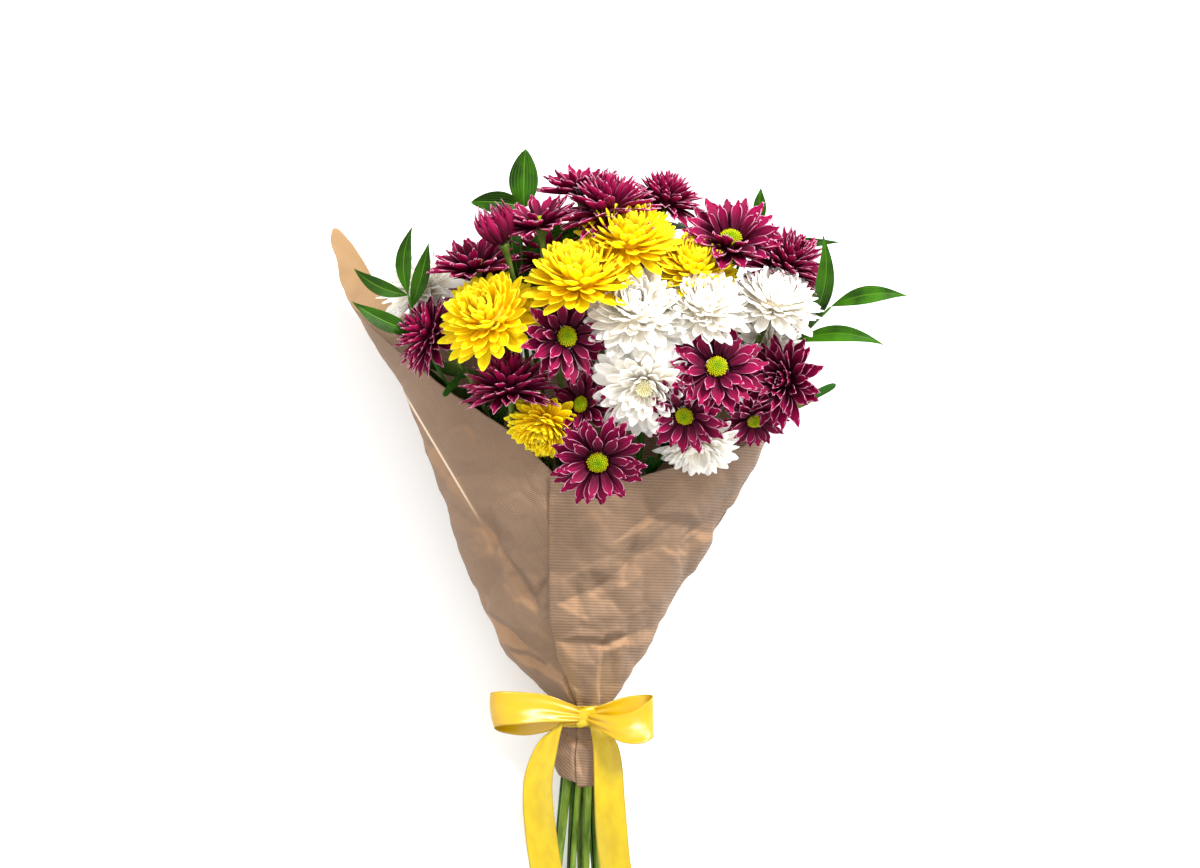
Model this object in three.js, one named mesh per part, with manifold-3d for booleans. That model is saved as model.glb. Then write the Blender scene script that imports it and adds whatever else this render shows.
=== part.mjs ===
// A hand-tied bouquet of spray chrysanthemums in ribbed kraft paper with a satin bow, lying on its back.
//
// Millimetres. +Y runs along the stems towards the flowers, +X across the bouquet and +Z up from the table.
// Every place below is measured from the tie: y = 0 is the tie, x = 0 its middle and z = 0 the table.
// The finished group is shifted so that its origin is the middle of the flat spot that the paper rests on.

import * as THREE from "three";
import { mergeVertices } from "three/addons/utils/BufferGeometryUtils.js";
import Module from "manifold-3d";

const wasm = await Module();
wasm.setup();

// ---- Driving dimensions ---------------------------------------------------------------------------------

const REST_Y = 190; // the middle of the flat spot, from the tie
const CLEARANCE = 0.35; // between any two pieces

const NECK_HEIGHT = 44.6; // the tie's centre above the table
const PAPER_THICKNESS = 0.8;
const SHEET_TURN = 380; // degrees that the paper goes round, with its overlap
const SEAM_ANGLE = 106; // where the outer layer's edge lies, from +X towards +Z
const LAP_DEPTH = [1.6, 2.6]; // how far the lapped layer lies under the outer one, at the tie and at the rim
const GATHERS = { count: 6, depth: 0.9, reach: 26 }; // the folds that the tie presses into the paper
const PAPER_COLUMNS = 36;

const RIBBON_THICKNESS = 0.8;
const BAND = { half: 8, gap: 1.4, columns: 16 }; // the ribbon's turns round the tie
const KNOT = [[4.6, 65.4], [9, 66], [9.6, 70], [7.4, 73.6], [3.6, 75]]; // half width and height

const STEM_RADIUS = 2.55;
const PEDUNCLE_RADIUS = 1.7;
const SPRIG_RADIUS = [2.6, 1.1]; // at the cut end and at the tip
const SLOT_PITCH = 5.5; // between neighbouring stems in the tie
const SLOT_ROW = 0.87; // the rows of a hexagonal packing, in pitches
const CUT_END_Y = -176; // where the stems are cut
const CUT_END_HEIGHT = 18; // the middle of the cut ends above the table
const SPLAY = { across: 2.7, up: 1.3, turn: -28 }; // how the stems stand at their cut ends, against the tie

// The paper cone's outline at a few distances from the tie: left, right, back and front faces.
const CONE = [
  { y: -58, left: -21, right: 24, back: 20, front: 64 },
  { y: -30, left: -24, right: 25, back: 25, front: 67 },
  { y: -10, left: -18, right: 19, back: 29, front: 64 },
  { y: 0, left: -17, right: 17.5, back: 29.5, front: 63.5 },
  { y: 9, left: -18.5, right: 19.5, back: 28.4, front: 64.2 },
  { y: 20, left: -32, right: 29, back: 21, front: 72 },
  { y: 45, left: -58, right: 46, back: 9, front: 88 },
  { y: 80, left: -78, right: 66, back: 0, front: 107 },
  { y: 130, left: -96, right: 97, back: 0, front: 128 },
  { y: 190, left: -115, right: 132, back: 0, front: 148 },
  { y: 250, left: -140, right: 156, back: 0, front: 158 },
  { y: 316, left: -180, right: 176, back: 0, front: 164 },
  { y: 376, left: -201, right: 190, back: 0, front: 168 },
];
const CRUMPLE = 2.4; // how far the paper's creases stand in and out together
const WIDEST_AT = 0.42; // the height of the cone's widest place, as a share of its depth
const BACK_BULGE = 1.35; // how far the back would sag below the table, which flattens it

// The paper's rim and lower edge, as angle round the cone and distance from the tie.
const RIM = [
  [106, 186], [76, 181], [54, 194], [20, 209], [0, 215], [-40, 232], [-90, 262], [-135, 290],
  [-146, 316], [-156, 362], [-162, 374], [-168, 368], [-180, 318], [-199, 292], [-221, 247], [-242, 216], [-254, 187], [-274, 150],
];
const HEM = [[106, -54], [0, -50], [-90, -38], [-180, -27], [-274, -50]];
const ROWS = { below: [1, 0.5], tie: [-9, 0, 9, 22], above: [0.1, 0.26, 0.46, 0.7, 1] }; // shares, places, shares

const COLOURS = {
  paper: { color: 0xb08d68, roughness: 0.85, metalness: 0 },
  ribbon: { color: 0xf5cf1d, roughness: 0.32, metalness: 0 },
  stem: { color: 0x5d7f38, roughness: 0.6, metalness: 0 },
  leaf: { color: 0x1f6a1d, roughness: 0.45, metalness: 0 },
  magenta: { color: 0x8d0a3f, roughness: 0.55, metalness: 0 },
  yellow: { color: 0xf8d313, roughness: 0.55, metalness: 0 },
  white: { color: 0xf5f2ea, roughness: 0.55, metalness: 0 },
  disc: { color: 0x9db81c, roughness: 0.75, metalness: 0 },
  cream: { color: 0xe9dd8e, roughness: 0.75, metalness: 0 },
};

// ---- The flowers ----------------------------------------------------------------------------------------

// A flower is a core whose rings of petals grow out of the bands between its rows of [radius, height].
// For each ring, from the outside in: how far its petals lift from the flower's plane, how much more they lift
// at the tip, their length, their width and their shape.
const KINDS = {
  daisy: {
    petals: 9,
    core: [[8.2, -2.2], [9, 0], [8.8, 2]],
    disc: true,
    rings: [
      { lift: 6, curl: 6, length: 27, width: 12.5, shape: "long" },
      { lift: 26, curl: 6, length: 24, width: 11.5, shape: "short" },
    ],
  },
  cup: {
    petals: 8,
    core: [[7.4, -2.2], [8.4, 0], [8.2, 2]],
    disc: false,
    rings: [
      { lift: 32, curl: 10, length: 29, width: 12.5, shape: "long" },
      { lift: 52, curl: 12, length: 24, width: 10.5, shape: "short" },
    ],
  },
  bud: {
    petals: 6,
    core: [[5, -2.2], [6.2, 0.5], [5.6, 3.5]],
    disc: false,
    rings: [
      { lift: 58, curl: 16, length: 26, width: 9.5, shape: "short" },
      { lift: 76, curl: 16, length: 20, width: 6.5, shape: "pointed" },
    ],
  },
  double: {
    petals: 7,
    core: [[8, -2.2], [9.6, 0.6], [8.6, 4], [5.4, 7]],
    disc: false,
    rings: [
      { lift: 0, curl: 10, length: 29, width: 13.5, shape: "short" },
      { lift: 36, curl: 14, length: 28, width: 13, shape: "short" },
      { lift: 66, curl: 16, length: 25, width: 9.5, shape: "pointed" },
    ],
  },
  full: {
    petals: 7,
    core: [[9, -2.2], [11.4, 0.8], [10.4, 5], [6.4, 9.5]],
    disc: false,
    rings: [
      { lift: 2, curl: 12, length: 28, width: 14.5, shape: "short" },
      { lift: 30, curl: 18, length: 25, width: 14, shape: "short" },
      { lift: 58, curl: 34, length: 21, width: 11.5, shape: "pointed" },
    ],
  },
};
const LIFTS = { most: 82, between: 13 }; // the steepest petal, and the least angle between one ring and the next

// Each flower's place is the middle of its core. Lean is how far it tips away from straight up, in degrees,
// and bearing the way it tips, from +X towards +Y. Size scales its petals and core.
const SPRAYS = [
  {
    name: "magenta_spray_top", slot: [-0.5, -1], hub: 0.66, colour: "magenta",
    flowers: [
      { name: "flower_top", kind: "cup", at: [-2, 396, 118], lean: 80, bearing: 92, size: 0.98 },
      { name: "flower_top_low", kind: "double", at: [20, 377, 156], lean: 82, bearing: 96, size: 1.1 },
      { name: "flower_top_right", kind: "double", at: [60, 386, 126], lean: 80, bearing: 80, size: 0.9 },
    ],
  },
  {
    name: "magenta_spray_upper_left", slot: [-1.5, 1], hub: 0.64, colour: "magenta",
    flowers: [
      { name: "flower_upper_left", kind: "cup", at: [-32, 370, 166], lean: 70, bearing: 104, size: 0.92 },
      { name: "flower_half_open", kind: "bud", at: [-60, 358, 176], lean: 72, bearing: 112, size: 1.0 },
      { name: "flower_left_top", kind: "cup", at: [-80, 338, 158], lean: 72, bearing: 100, size: 1.0 },
    ],
  },
  {
    name: "magenta_spray_left", slot: [-1, 2], hub: 0.66, colour: "magenta",
    flowers: [
      { name: "flower_left_low", kind: "double", at: [-54, 246, 158], lean: 78, bearing: 92, size: 1.06 },
      { name: "flower_left", kind: "double", at: [-112, 288, 142], lean: 62, bearing: 150, size: 0.92 },
    ],
    leaves: [{ on: 1, from: 0.8, tip: [-106, 240, 146], width: 13 }],
  },
  {
    name: "magenta_spray_middle", slot: [0, 2], hub: 0.62, colour: "magenta",
    flowers: [
      { name: "flower_middle", kind: "daisy", at: [-13, 286, 184], lean: 26, bearing: 20, size: 1.03 },
      { name: "flower_front", kind: "daisy", at: [11, 195, 178], lean: 26, bearing: 268, size: 1.06 },
      { name: "flower_shaded", kind: "daisy", at: [0, 236, 158], lean: 38, bearing: 160, size: 0.84 },
    ],
  },
  {
    name: "magenta_spray_right", slot: [1, 2], hub: 0.62, colour: "magenta",
    flowers: [
      { name: "flower_right", kind: "daisy", at: [99, 263, 186], lean: 22, bearing: 80, size: 1.06 },
      { name: "flower_front_right", kind: "daisy", at: [76, 229, 180], lean: 30, bearing: 240, size: 0.92 },
      { name: "flower_far_right", kind: "cup", at: [150, 254, 150], lean: 28, bearing: 170, size: 1.08 },
      { name: "flower_right_shaded", kind: "daisy", at: [128, 226, 142], lean: 46, bearing: 280, size: 0.8 },
    ],
    leaves: [
      { on: 2, from: 0.6, tip: [198, 256, 122], width: 18 },
      { on: 3, from: 0.4, tip: [116, 204, 92], width: 18 },
    ],
  },
  {
    name: "magenta_spray_upper_right", slot: [1, 0], hub: 0.66, colour: "magenta",
    flowers: [
      { name: "flower_upper_right", kind: "cup", at: [110, 358, 152], lean: 46, bearing: 86, size: 1.12 },
      { name: "flower_far_upper_right", kind: "double", at: [150, 338, 138], lean: 52, bearing: 60, size: 1.04 },
      { name: "flower_back_right", kind: "double", at: [142, 300, 66], lean: 96, bearing: 30, size: 0.86 },
    ],
  },
  {
    name: "yellow_spray_top", slot: [0, 0], hub: 0.66, colour: "yellow",
    flowers: [
      { name: "flower_yellow_low", kind: "full", at: [-2, 326, 184], lean: 62, bearing: 92, size: 1.2 },
      { name: "flower_yellow_top", kind: "full", at: [34, 356, 166], lean: 60, bearing: 86, size: 1.14 },
      { name: "flower_yellow_right", kind: "full", at: [82, 335, 160], lean: 56, bearing: 76, size: 0.98 },
    ],
  },
  {
    name: "yellow_spray_left", slot: [-1, 0], hub: 0.6, colour: "yellow",
    flowers: [
      { name: "flower_yellow_left", kind: "full", at: [-68, 299, 178], lean: 44, bearing: 118, size: 1.12 },
      { name: "flower_yellow_shaded", kind: "full", at: [-28, 222, 146], lean: 50, bearing: 250, size: 0.84 },
    ],
  },
  {
    name: "white_spray_middle", slot: [0.5, 1], hub: 0.6, colour: "white",
    flowers: [
      { name: "flower_white_open", kind: "daisy", at: [46, 250, 178], lean: 26, bearing: 262, size: 1.18 },
      { name: "flower_white_middle", kind: "full", at: [40, 304, 178], lean: 34, bearing: 96, size: 1.18 },
      { name: "flower_white_low", kind: "double", at: [86, 206, 140], lean: 52, bearing: 270, size: 0.92 },
    ],
    leaves: [{ on: 2, from: 0.35, tip: [52, 200, 118], width: 18 }],
  },
  {
    name: "white_spray_right", slot: [1.5, 1], hub: 0.64, colour: "white",
    flowers: [
      { name: "flower_white_right", kind: "full", at: [90, 306, 178], lean: 46, bearing: 84, size: 0.98 },
      { name: "flower_white_far_right", kind: "full", at: [142, 310, 160], lean: 60, bearing: 74, size: 1.02 },
      { name: "flower_cream", kind: "double", at: [138, 280, 124], lean: 50, bearing: 20, size: 0.9 },
    ],
  },
  {
    name: "white_spray_back", slot: [0, -2], hub: 0.66, colour: "white",
    flowers: [
      { name: "flower_white_left", kind: "double", at: [-120, 322, 112], lean: 66, bearing: 120, size: 1.02 },
      { name: "flower_white_back", kind: "full", at: [56, 350, 62], lean: 92, bearing: 80, size: 0.98 },
    ],
    leaves: [
      { on: 0, from: 0.35, tip: [-152, 276, 104], width: 22 },
      { on: 0, from: 0.2, tip: [-126, 254, 108], width: 20 },
    ],
  },
  {
    name: "magenta_spray_back", slot: [-1, -2], hub: 0.66, colour: "magenta",
    flowers: [
      { name: "flower_back_middle", kind: "double", at: [-28, 344, 104], lean: 84, bearing: 94, size: 0.96 },
      { name: "flower_back_left", kind: "double", at: [-78, 330, 70], lean: 92, bearing: 122, size: 0.96 },
    ],
  },
];

// ---- The foliage ----------------------------------------------------------------------------------------

// A sprig is a thin stem through the given points, ending in leaves. A leaf goes from base to tip,
// with its width, its bulge to one side and the height that its middle arches.
const SPRIGS = [
  {
    name: "foliage_sprig_left", slot: [-2, 0],
    path: [[-72, 150, 96], [-92, 228, 106], [-122, 290, 138], [-130, 318, 148]],
    leaves: [
      { base: [-131, 322, 148], tip: [-127, 368, 150], width: 15, bulge: -4, arch: 3 },
      { base: [-124, 300, 143], tip: [-114, 357, 146], width: 15, bulge: 3, arch: 3 },
      { base: [-130, 318, 148], tip: [-171, 338, 144], width: 12, bulge: 4, arch: 5 },
      { base: [-124, 298, 142], tip: [-172, 313, 150], width: 14, bulge: 3, arch: 4 },
    ],
  },
  {
    name: "foliage_sprig_top", slot: [-0.5, 1],
    path: [[-10, 160, 86], [-38, 280, 112], [-46, 350, 122], [-44, 384, 122]],
    leaves: [
      { base: [-44, 380, 122], tip: [-43, 428, 124], width: 22, bulge: 1, arch: 2 },
      { base: [-46, 370, 122], tip: [-79, 382, 120], width: 15, bulge: 2, arch: 2 },
    ],
  },
  {
    name: "foliage_sprig_right", slot: [2, 0],
    path: [[70, 150, 84], [142, 262, 108], [168, 292, 120], [186, 310, 122]],
    leaves: [
      { base: [174, 298, 121], tip: [179, 362, 122], width: 15, bulge: 6, arch: 2 },
      { base: [186, 310, 122], tip: [243, 318, 124], width: 13.5, bulge: 5, arch: 3 },
      { base: [162, 286, 118], tip: [226, 281, 122], width: 12.5, bulge: 8, arch: 4 },
    ],
  },
  {
    name: "foliage_sprig_back", slot: [0.5, -1],
    path: [[44, 160, 60], [96, 290, 84], [122, 352, 96], [134, 372, 100]],
    leaves: [
      { base: [134, 370, 100], tip: [134, 400, 102], width: 10, bulge: 1, arch: 1 },
      { base: [124, 354, 97], tip: [194, 359, 98], width: 10, bulge: 2, arch: 4 },
    ],
  },
];

// Shares of a blade's length and of its half width, on its way to the tip.
const OUTLINES = {
  long: [[0.42, 0.8], [0.8, 1], [1, 0.3]],
  short: [[0.7, 1], [1, 0.3]],
  pointed: [[0.6, 1], [1, 0]],
  ruscus: [[0, 0.08], [0.2, 0.66], [0.48, 1], [0.76, 0.66], [1, 0]],
  lobed: [[0, 0.08], [0.16, 0.2], [0.27, 0.72], [0.38, 0.4], [0.54, 1], [0.66, 0.5], [0.8, 0.68], [1, 0]],
};
// How a petal may give way to what it presses on: degrees of extra lift and a share of its length.
const GIVES = [
  [0, 1], [12, 1], [24, 0.98], [-14, 0.97], [36, 0.94], [-28, 0.92], [48, 0.88], [60, 0.8], [0, 0.72],
  [24, 0.68], [48, 0.62], [-40, 0.7], [70, 0.55], [10, 0.5],
];
const KEEL = 1.3; // a blade's depth under its middle
const EDGE_RISE = 0.22; // how far a petal's edges rise, as a share of its half width
const DISC = [[7.2, 2.45], [7.7, 4.1], [6.1, 6.2], [2.6, 7.4]]; // radius and height
const DISC_SIDES = 12;
const CALYX = [[2, -9.5], [4.9, -5], [5.4, -2.75]];
const STALK_SIDES = 5;

// The ribbon's loops and tails, as runs of [x, y, z, width, ...the direction of its width].
const LOOPS = [
  [
    [2, 0, 71.5, 9, 0, 1, 0.1], [-16, 1, 80, 19, 0.1, 1, 0.1], [-38, 2, 86, 26, 0.05, 1, 0.15],
    [-58, 2, 86, 28, -0.05, 1, 0.1], [-67, 1, 78, 28, -0.1, 1, 0], [-58, 0, 72, 27, -0.05, 1, -0.1],
    [-38, 0, 73, 23, 0.05, 1, -0.1], [-18, 0, 74.6, 15, 0.1, 1, 0], [2, 0, 68, 8, 0, 1, 0],
  ],
  [
    [2, 0, 71.5, 9, 0, 1, 0.1], [16, 2, 80, 19, -0.15, 1, 0.1], [32, 2, 86, 28, -0.25, 1, 0.15],
    [46, 0, 86, 33, -0.3, 1, 0.1], [52, -2, 78, 33, -0.3, 1, 0], [45, -1, 72, 32, -0.25, 1, -0.1],
    [31, 0, 73, 25, -0.15, 1, -0.1], [17, 0, 74.6, 15, -0.1, 1, 0], [2, 0, 68, 8, 0, 1, 0],
  ],
];
const TAILS = [
  [
    [-1, 1, 69, 8, 1, 0.2, 0], [-9, -13, 72.5, 15, 1, -0.2, 0.1], [-22, -34, 74, 23, 1, -0.35, 0.15],
    [-30, -60, 71, 25, 1, -0.25, 0.05], [-31, -90, 60, 25, 1, -0.05, -0.1], [-27, -120, 50, 25, 1, 0.1, 0],
    [-20, -155, 43, 25, 1, 0.1, 0.1], [-16, -184, 32, 25, 1, 0, 0], [-14, -203, 12, 25, 1, 0, 0],
    [-13, -219, 1.6, 25, 1, 0, 0],
  ],
  [
    [5, 1, 69, 8, 1, -0.2, 0], [12, -14, 72.5, 14, 1, 0.15, 0], [19, -34, 74, 21, 1, 0.1, -0.1],
    [21, -60, 71, 25, 1, 0.05, -0.05], [22, -90, 60, 25, 1, 0.1, 0.1], [25, -120, 50, 25, 1, 0.1, 0],
    [30, -155, 41, 25, 1, 0.1, -0.1], [34, -182, 27, 25, 1, 0.05, 0], [36, -198, 9, 25, 1, 0, 0],
    [37, -212, 1.6, 25, 1, 0, 0],
  ],
];

// How a stem, stalk or leaf may bow to one side to pass a neighbour, nearest first.
const BOWS = [0, 3, 6, 10, 15, 21, 28].flatMap((reach) =>
  Array.from({ length: reach ? 10 : 1 }, (_, i) => {
    const angle = (i / 10 + reach / 50) * 2 * Math.PI;
    return new THREE.Vector3(reach * Math.cos(angle), 0, reach * Math.sin(angle));
  }),
);

// ---- Solids ---------------------------------------------------------------------------------------------

const DEG = Math.PI / 180;
const UP = new THREE.Vector3(0, 0, 1);
const point = ([x, y, z]) => new THREE.Vector3(x, y, z);
const clamp01 = (t) => Math.min(1, Math.max(0, t));
const smooth = (t) => t * t * (3 - 2 * t);
const counted = (count, make) => Array.from({ length: count }, (_, i) => make(i));

// A repeatable source of numbers from -0.5 to 0.5.
function seeded(seed) {
  let state = seed;
  return () => {
    state = (state + 0x6d2b79f5) | 0;
    let t = Math.imul(state ^ (state >>> 15), 1 | state);
    t = (t + Math.imul(t ^ (t >>> 7), 61 | t)) ^ t;
    return ((t ^ (t >>> 14)) >>> 0) / 4294967296 - 0.5;
  };
}

// Reads a table of [key, value] rows at a key, in straight lines between its rows.
function along(table, key) {
  const sign = Math.sign(table[table.length - 1][0] - table[0][0]);
  let i = 0;
  while (i < table.length - 2 && sign * (key - table[i + 1][0]) > 0) i++;
  const [k0, v0] = table[i];
  const [k1, v1] = table[i + 1];
  return v0 + (v1 - v0) * clamp01((key - k0) / (k1 - k0));
}

// A closed solid from points and triangles, turned to face outwards.
function solidOf(points, triangles) {
  const geometry = new THREE.BufferGeometry().setFromPoints(points).setIndex(triangles.flat());
  const merged = mergeVertices(geometry, 1e-4);
  const build = (order) =>
    new wasm.Manifold(
      new wasm.Mesh({
        numProp: 3,
        vertProperties: merged.attributes.position.array,
        triVerts: new Uint32Array(order),
      }),
    );
  const index = Array.from(merged.index.array);
  const solid = build(index);
  return solid.volume() < 0 ? build(index.reverse()) : solid;
}

const joined = (solids) => wasm.Manifold.union(solids);

// A closed solid through rings of points. A ring of one point is a tip.
function loft(rings) {
  const starts = rings.map((_, k) => rings.slice(0, k).flat().length);
  const triangles = [];
  rings.slice(1).forEach((ring, k) => {
    const sides = Math.max(rings[k].length, ring.length);
    const from = (n) => starts[k] + (rings[k].length > 1 ? n % sides : 0);
    const to = (n) => starts[k + 1] + (ring.length > 1 ? n % sides : 0);
    for (let i = 0; i < sides; i++) {
      if (rings[k].length > 1) triangles.push([from(i), from(i + 1), to(i + 1)]);
      if (ring.length > 1) triangles.push([from(i), to(i + 1), to(i)]);
    }
  });
  const cap = (start, sides) => counted(sides - 2, (i) => [start, start + i + 1, start + i + 2]);
  cap(0, rings[0].length).forEach(([a, b, c]) => triangles.push([a, c, b]));
  triangles.push(...cap(starts.at(-1), rings.at(-1).length));
  return solidOf(rings.flat(), triangles);
}

// A sheet of even thickness under a grid of points, given as columns. Both of its faces are split alike.
function sheet(columns, thickness, closed = false) {
  const rows = columns[0].length;
  const spans = closed ? columns.length : columns.length - 1;
  const at = (i, j) => (i % columns.length) * rows + j;
  const face = counted(spans, (i) =>
    counted(rows - 1, (j) => [
      [at(i, j), at(i + 1, j), at(i + 1, j + 1)],
      [at(i, j), at(i + 1, j + 1), at(i, j + 1)],
    ]),
  ).flat(2);
  const top = columns.flat();
  const surface = new THREE.BufferGeometry().setFromPoints(top).setIndex(face.flat());
  surface.computeVertexNormals();
  const normals = surface.getAttribute("normal");
  const under = top.map((p, i) =>
    p.clone().addScaledVector(new THREE.Vector3().fromBufferAttribute(normals, i), -thickness),
  );
  const border = counted(spans, (i) => [
    [at(i + 1, 0), at(i, 0)],
    [at(i, rows - 1), at(i + 1, rows - 1)],
  ]).flat();
  if (!closed) {
    border.push(...counted(rows - 1, (j) => [at(0, j), at(0, j + 1)]));
    border.push(...counted(rows - 1, (j) => [at(spans, j + 1), at(spans, j)]));
  }
  const count = top.length;
  return solidOf(
    [...top, ...under],
    [
      ...face,
      ...face.map(([a, b, c]) => [c + count, b + count, a + count]),
      ...border.flatMap(([a, b]) => [[a, b, b + count], [a, b + count, a + count]]),
    ],
  );
}

// A round solid about its own Z axis, from [radius, height] rows, placed by a matrix.
function turned(rows, sides, matrix, knobs = 0) {
  return loft(
    rows.map(([radius, height], row) =>
      counted(sides, (i) => {
        const angle = ((i + 0.5 * (row % 2)) / sides) * 2 * Math.PI;
        const r = radius * (1 + (i % 2 ? knobs : -knobs));
        return new THREE.Vector3(r * Math.cos(angle), r * Math.sin(angle), height).applyMatrix4(matrix);
      }),
    ),
  );
}

// A tube through points, with a radius at each of them.
function tube(points, radii, sides) {
  const headings = points.map((p, k) =>
    points[Math.min(k + 1, points.length - 1)].clone().sub(points[Math.max(k - 1, 0)]).normalize(),
  );
  let normal = new THREE.Vector3(headings[0].y, -headings[0].x, 0.01).normalize();
  return loft(
    points.map((p, k) => {
      normal = normal.clone().projectOnPlane(headings[k]).normalize();
      const binormal = headings[k].clone().cross(normal);
      return counted(sides, (i) => {
        const angle = (i / sides) * 2 * Math.PI;
        return p
          .clone()
          .addScaledVector(normal, radii[k] * Math.cos(angle))
          .addScaledVector(binormal, radii[k] * Math.sin(angle));
      });
    }),
  );
}
const taper = (count, start, end) => counted(count, (k) => start + ((end - start) * k) / (count - 1));

// A thin blade with a dished face and a keel below it. A station of no width is a tip.
function blade(stations) {
  return loft(
    stations.map(({ centre, side, up, half, rise, keel }) => {
      const lifted = centre.clone().addScaledVector(up, rise);
      const edges = [-half, half].map((across) => lifted.clone().addScaledVector(side, across));
      return half > 0 ? [...edges, centre.clone().addScaledVector(up, -keel)] : [centre];
    }),
  );
}

// The solids already in place, each with its owner, which later ones keep clear of.
const placed = [];
const nearby = (a, b) =>
  [0, 1, 2].every((k) => a.min[k] - CLEARANCE < b.max[k] && b.min[k] - CLEARANCE < a.max[k]);
function clears(solid, owner) {
  const box = solid.boundingBox();
  return placed.every(
    (other) =>
      other.owner === owner ||
      !nearby(box, other.box) ||
      other.solid.minGap(solid, CLEARANCE + 0.01) >= CLEARANCE,
  );
}
function place(solid, owner) {
  placed.push({ solid, owner, box: solid.boundingBox() });
}
// The first of several tries that keeps clear, or nothing.
function firstClear(tries, owner) {
  for (const attempt of tries) {
    const made = attempt();
    if (made.solids.every((solid) => clears(solid, owner))) return made;
  }
  return null;
}

// ---- Pieces ---------------------------------------------------------------------------------------------

const bouquet = new THREE.Group();

// Adds a piece to the bouquet as a named mesh.
function addPiece(name, solids, colour) {
  const bodies = joined(solids).decompose().sort((a, b) => b.volume() - a.volume());
  if (bodies.length > 1 && bodies[1].volume() > 0) console.error(name + " is not in one piece");
  const { vertProperties, triVerts } = bodies[0].getMesh(); // the rest are pockets shut in between blades
  const geometry = new THREE.BufferGeometry()
    .setAttribute("position", new THREE.BufferAttribute(new Float32Array(vertProperties), 3))
    .setIndex(new THREE.BufferAttribute(new Uint32Array(triVerts), 1))
    .translate(0, -REST_Y, 0);
  const mesh = new THREE.Mesh(geometry, new THREE.MeshStandardMaterial({ ...COLOURS[colour], name: colour }));
  mesh.name = name;
  bouquet.add(mesh);
}

// A point on the paper cone's outer face, at an angle round it and a distance from the tie.
function onCone(angle, y) {
  const [left, right, back, front] = ["left", "right", "back", "front"].map((edge) =>
    along(CONE.map((station) => [station.y, station[edge]]), y),
  );
  const widest = back + WIDEST_AT * (front - back);
  const gather = GATHERS.depth * Math.exp(-((y / GATHERS.reach) ** 2)) * Math.sin(GATHERS.count * angle);
  const rise = Math.sin(angle);
  return new THREE.Vector3(
    (left + right) / 2 + ((right - left) / 2 + gather) * Math.cos(angle),
    y,
    rise > 0
      ? widest + (front - widest + gather) * rise
      : Math.max(back, widest + BACK_BULGE * (widest - back) * rise + gather * rise),
  );
}

// The paper: one sheet rolled round the stems, lapped under its own edge at the front.
function paperWrap() {
  const [lowest, highest] = [ROWS.tie[0], ROWS.tie.at(-1)];
  const random = seeded(11);
  return sheet(
    counted(PAPER_COLUMNS, (i) => {
      const turn = SEAM_ANGLE - (SHEET_TURN * i) / (PAPER_COLUMNS - 1);
      const angle = turn * DEG;
      const inward = new THREE.Vector3(-Math.cos(angle), 0, -Math.sin(angle));
      const single = turn < SEAM_ANGLE - 32 && turn > SEAM_ANGLE - SHEET_TURN + 32;
      const under = smooth(clamp01((SEAM_ANGLE - SHEET_TURN + 64 - turn) / 30));
      const reaches = [
        ...ROWS.below.map((share) => lowest + share * (along(HEM, turn) - lowest)),
        ...ROWS.tie,
        ...ROWS.above.map((share) => highest + share * (along(RIM, turn) - highest)),
      ];
      return reaches.map((y) => {
        const p = onCone(angle, y);
        const crumple = single && y > 30 && p.z > 12 ? CRUMPLE * random() : 0;
        const lap = under * (LAP_DEPTH[0] + (LAP_DEPTH[1] - LAP_DEPTH[0]) * clamp01(y / 90));
        return p.addScaledVector(inward, lap + crumple);
      });
    }),
    PAPER_THICKNESS,
  );
}

// A ribbon's run through [x, y, z, width, turn] stations, where turn rolls it about its run.
function ribbonRun(stations, samples, across) {
  const path = new THREE.CatmullRomCurve3(stations.map(point), false, "centripetal");
  const sides = new THREE.CatmullRomCurve3(
    stations.map(([, , , width, ...side]) => point(side).normalize().multiplyScalar(width / 2)),
  );
  const columns = counted(samples + 1, (k) => {
    const centre = path.getPoint(k / samples);
    const side = sides.getPoint(k / samples);
    return counted(across + 1, (j) => centre.clone().addScaledVector(side, (2 * j) / across - 1));
  });
  return sheet(columns, RIBBON_THICKNESS);
}

// The ribbon: its turns round the tie, its knot, two loops and two tails.
function ribbon() {
  const band = sheet(
    counted(BAND.columns, (i) => {
      const angle = (-i / BAND.columns) * 2 * Math.PI;
      const outward = new THREE.Vector3(Math.cos(angle), 0, Math.sin(angle));
      return [-BAND.half, 0, BAND.half].map((y) =>
        onCone(angle, y).addScaledVector(outward, BAND.gap + RIBBON_THICKNESS),
      );
    }),
    RIBBON_THICKNESS,
    true,
  );
  const knot = loft(
    KNOT.map(([half, z]) =>
      counted(8, (i) => {
        const angle = ((i + 0.5) / 8) * 2 * Math.PI;
        return new THREE.Vector3(2 + half * Math.cos(angle), 0.86 * half * Math.sin(angle), z);
      }),
    ),
  );
  return [band, knot, ...LOOPS.map((run) => ribbonRun(run, 11, 2)), ...TAILS.map((run) => ribbonRun(run, 11, 2))];
}

// A stem's place in the tie, and at its cut end.
function slotPoint([column, row]) {
  return new THREE.Vector3(column * SLOT_PITCH, 0, NECK_HEIGHT + row * SLOT_ROW * SLOT_PITCH);
}
function cutEnd(slot) {
  const offset = slotPoint(slot).setZ(slot[1] * SLOT_ROW * SLOT_PITCH);
  offset.applyAxisAngle(new THREE.Vector3(0, 1, 0), SPLAY.turn * DEG);
  return new THREE.Vector3(offset.x * SPLAY.across, CUT_END_Y, CUT_END_HEIGHT + offset.z * SPLAY.up);
}

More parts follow.
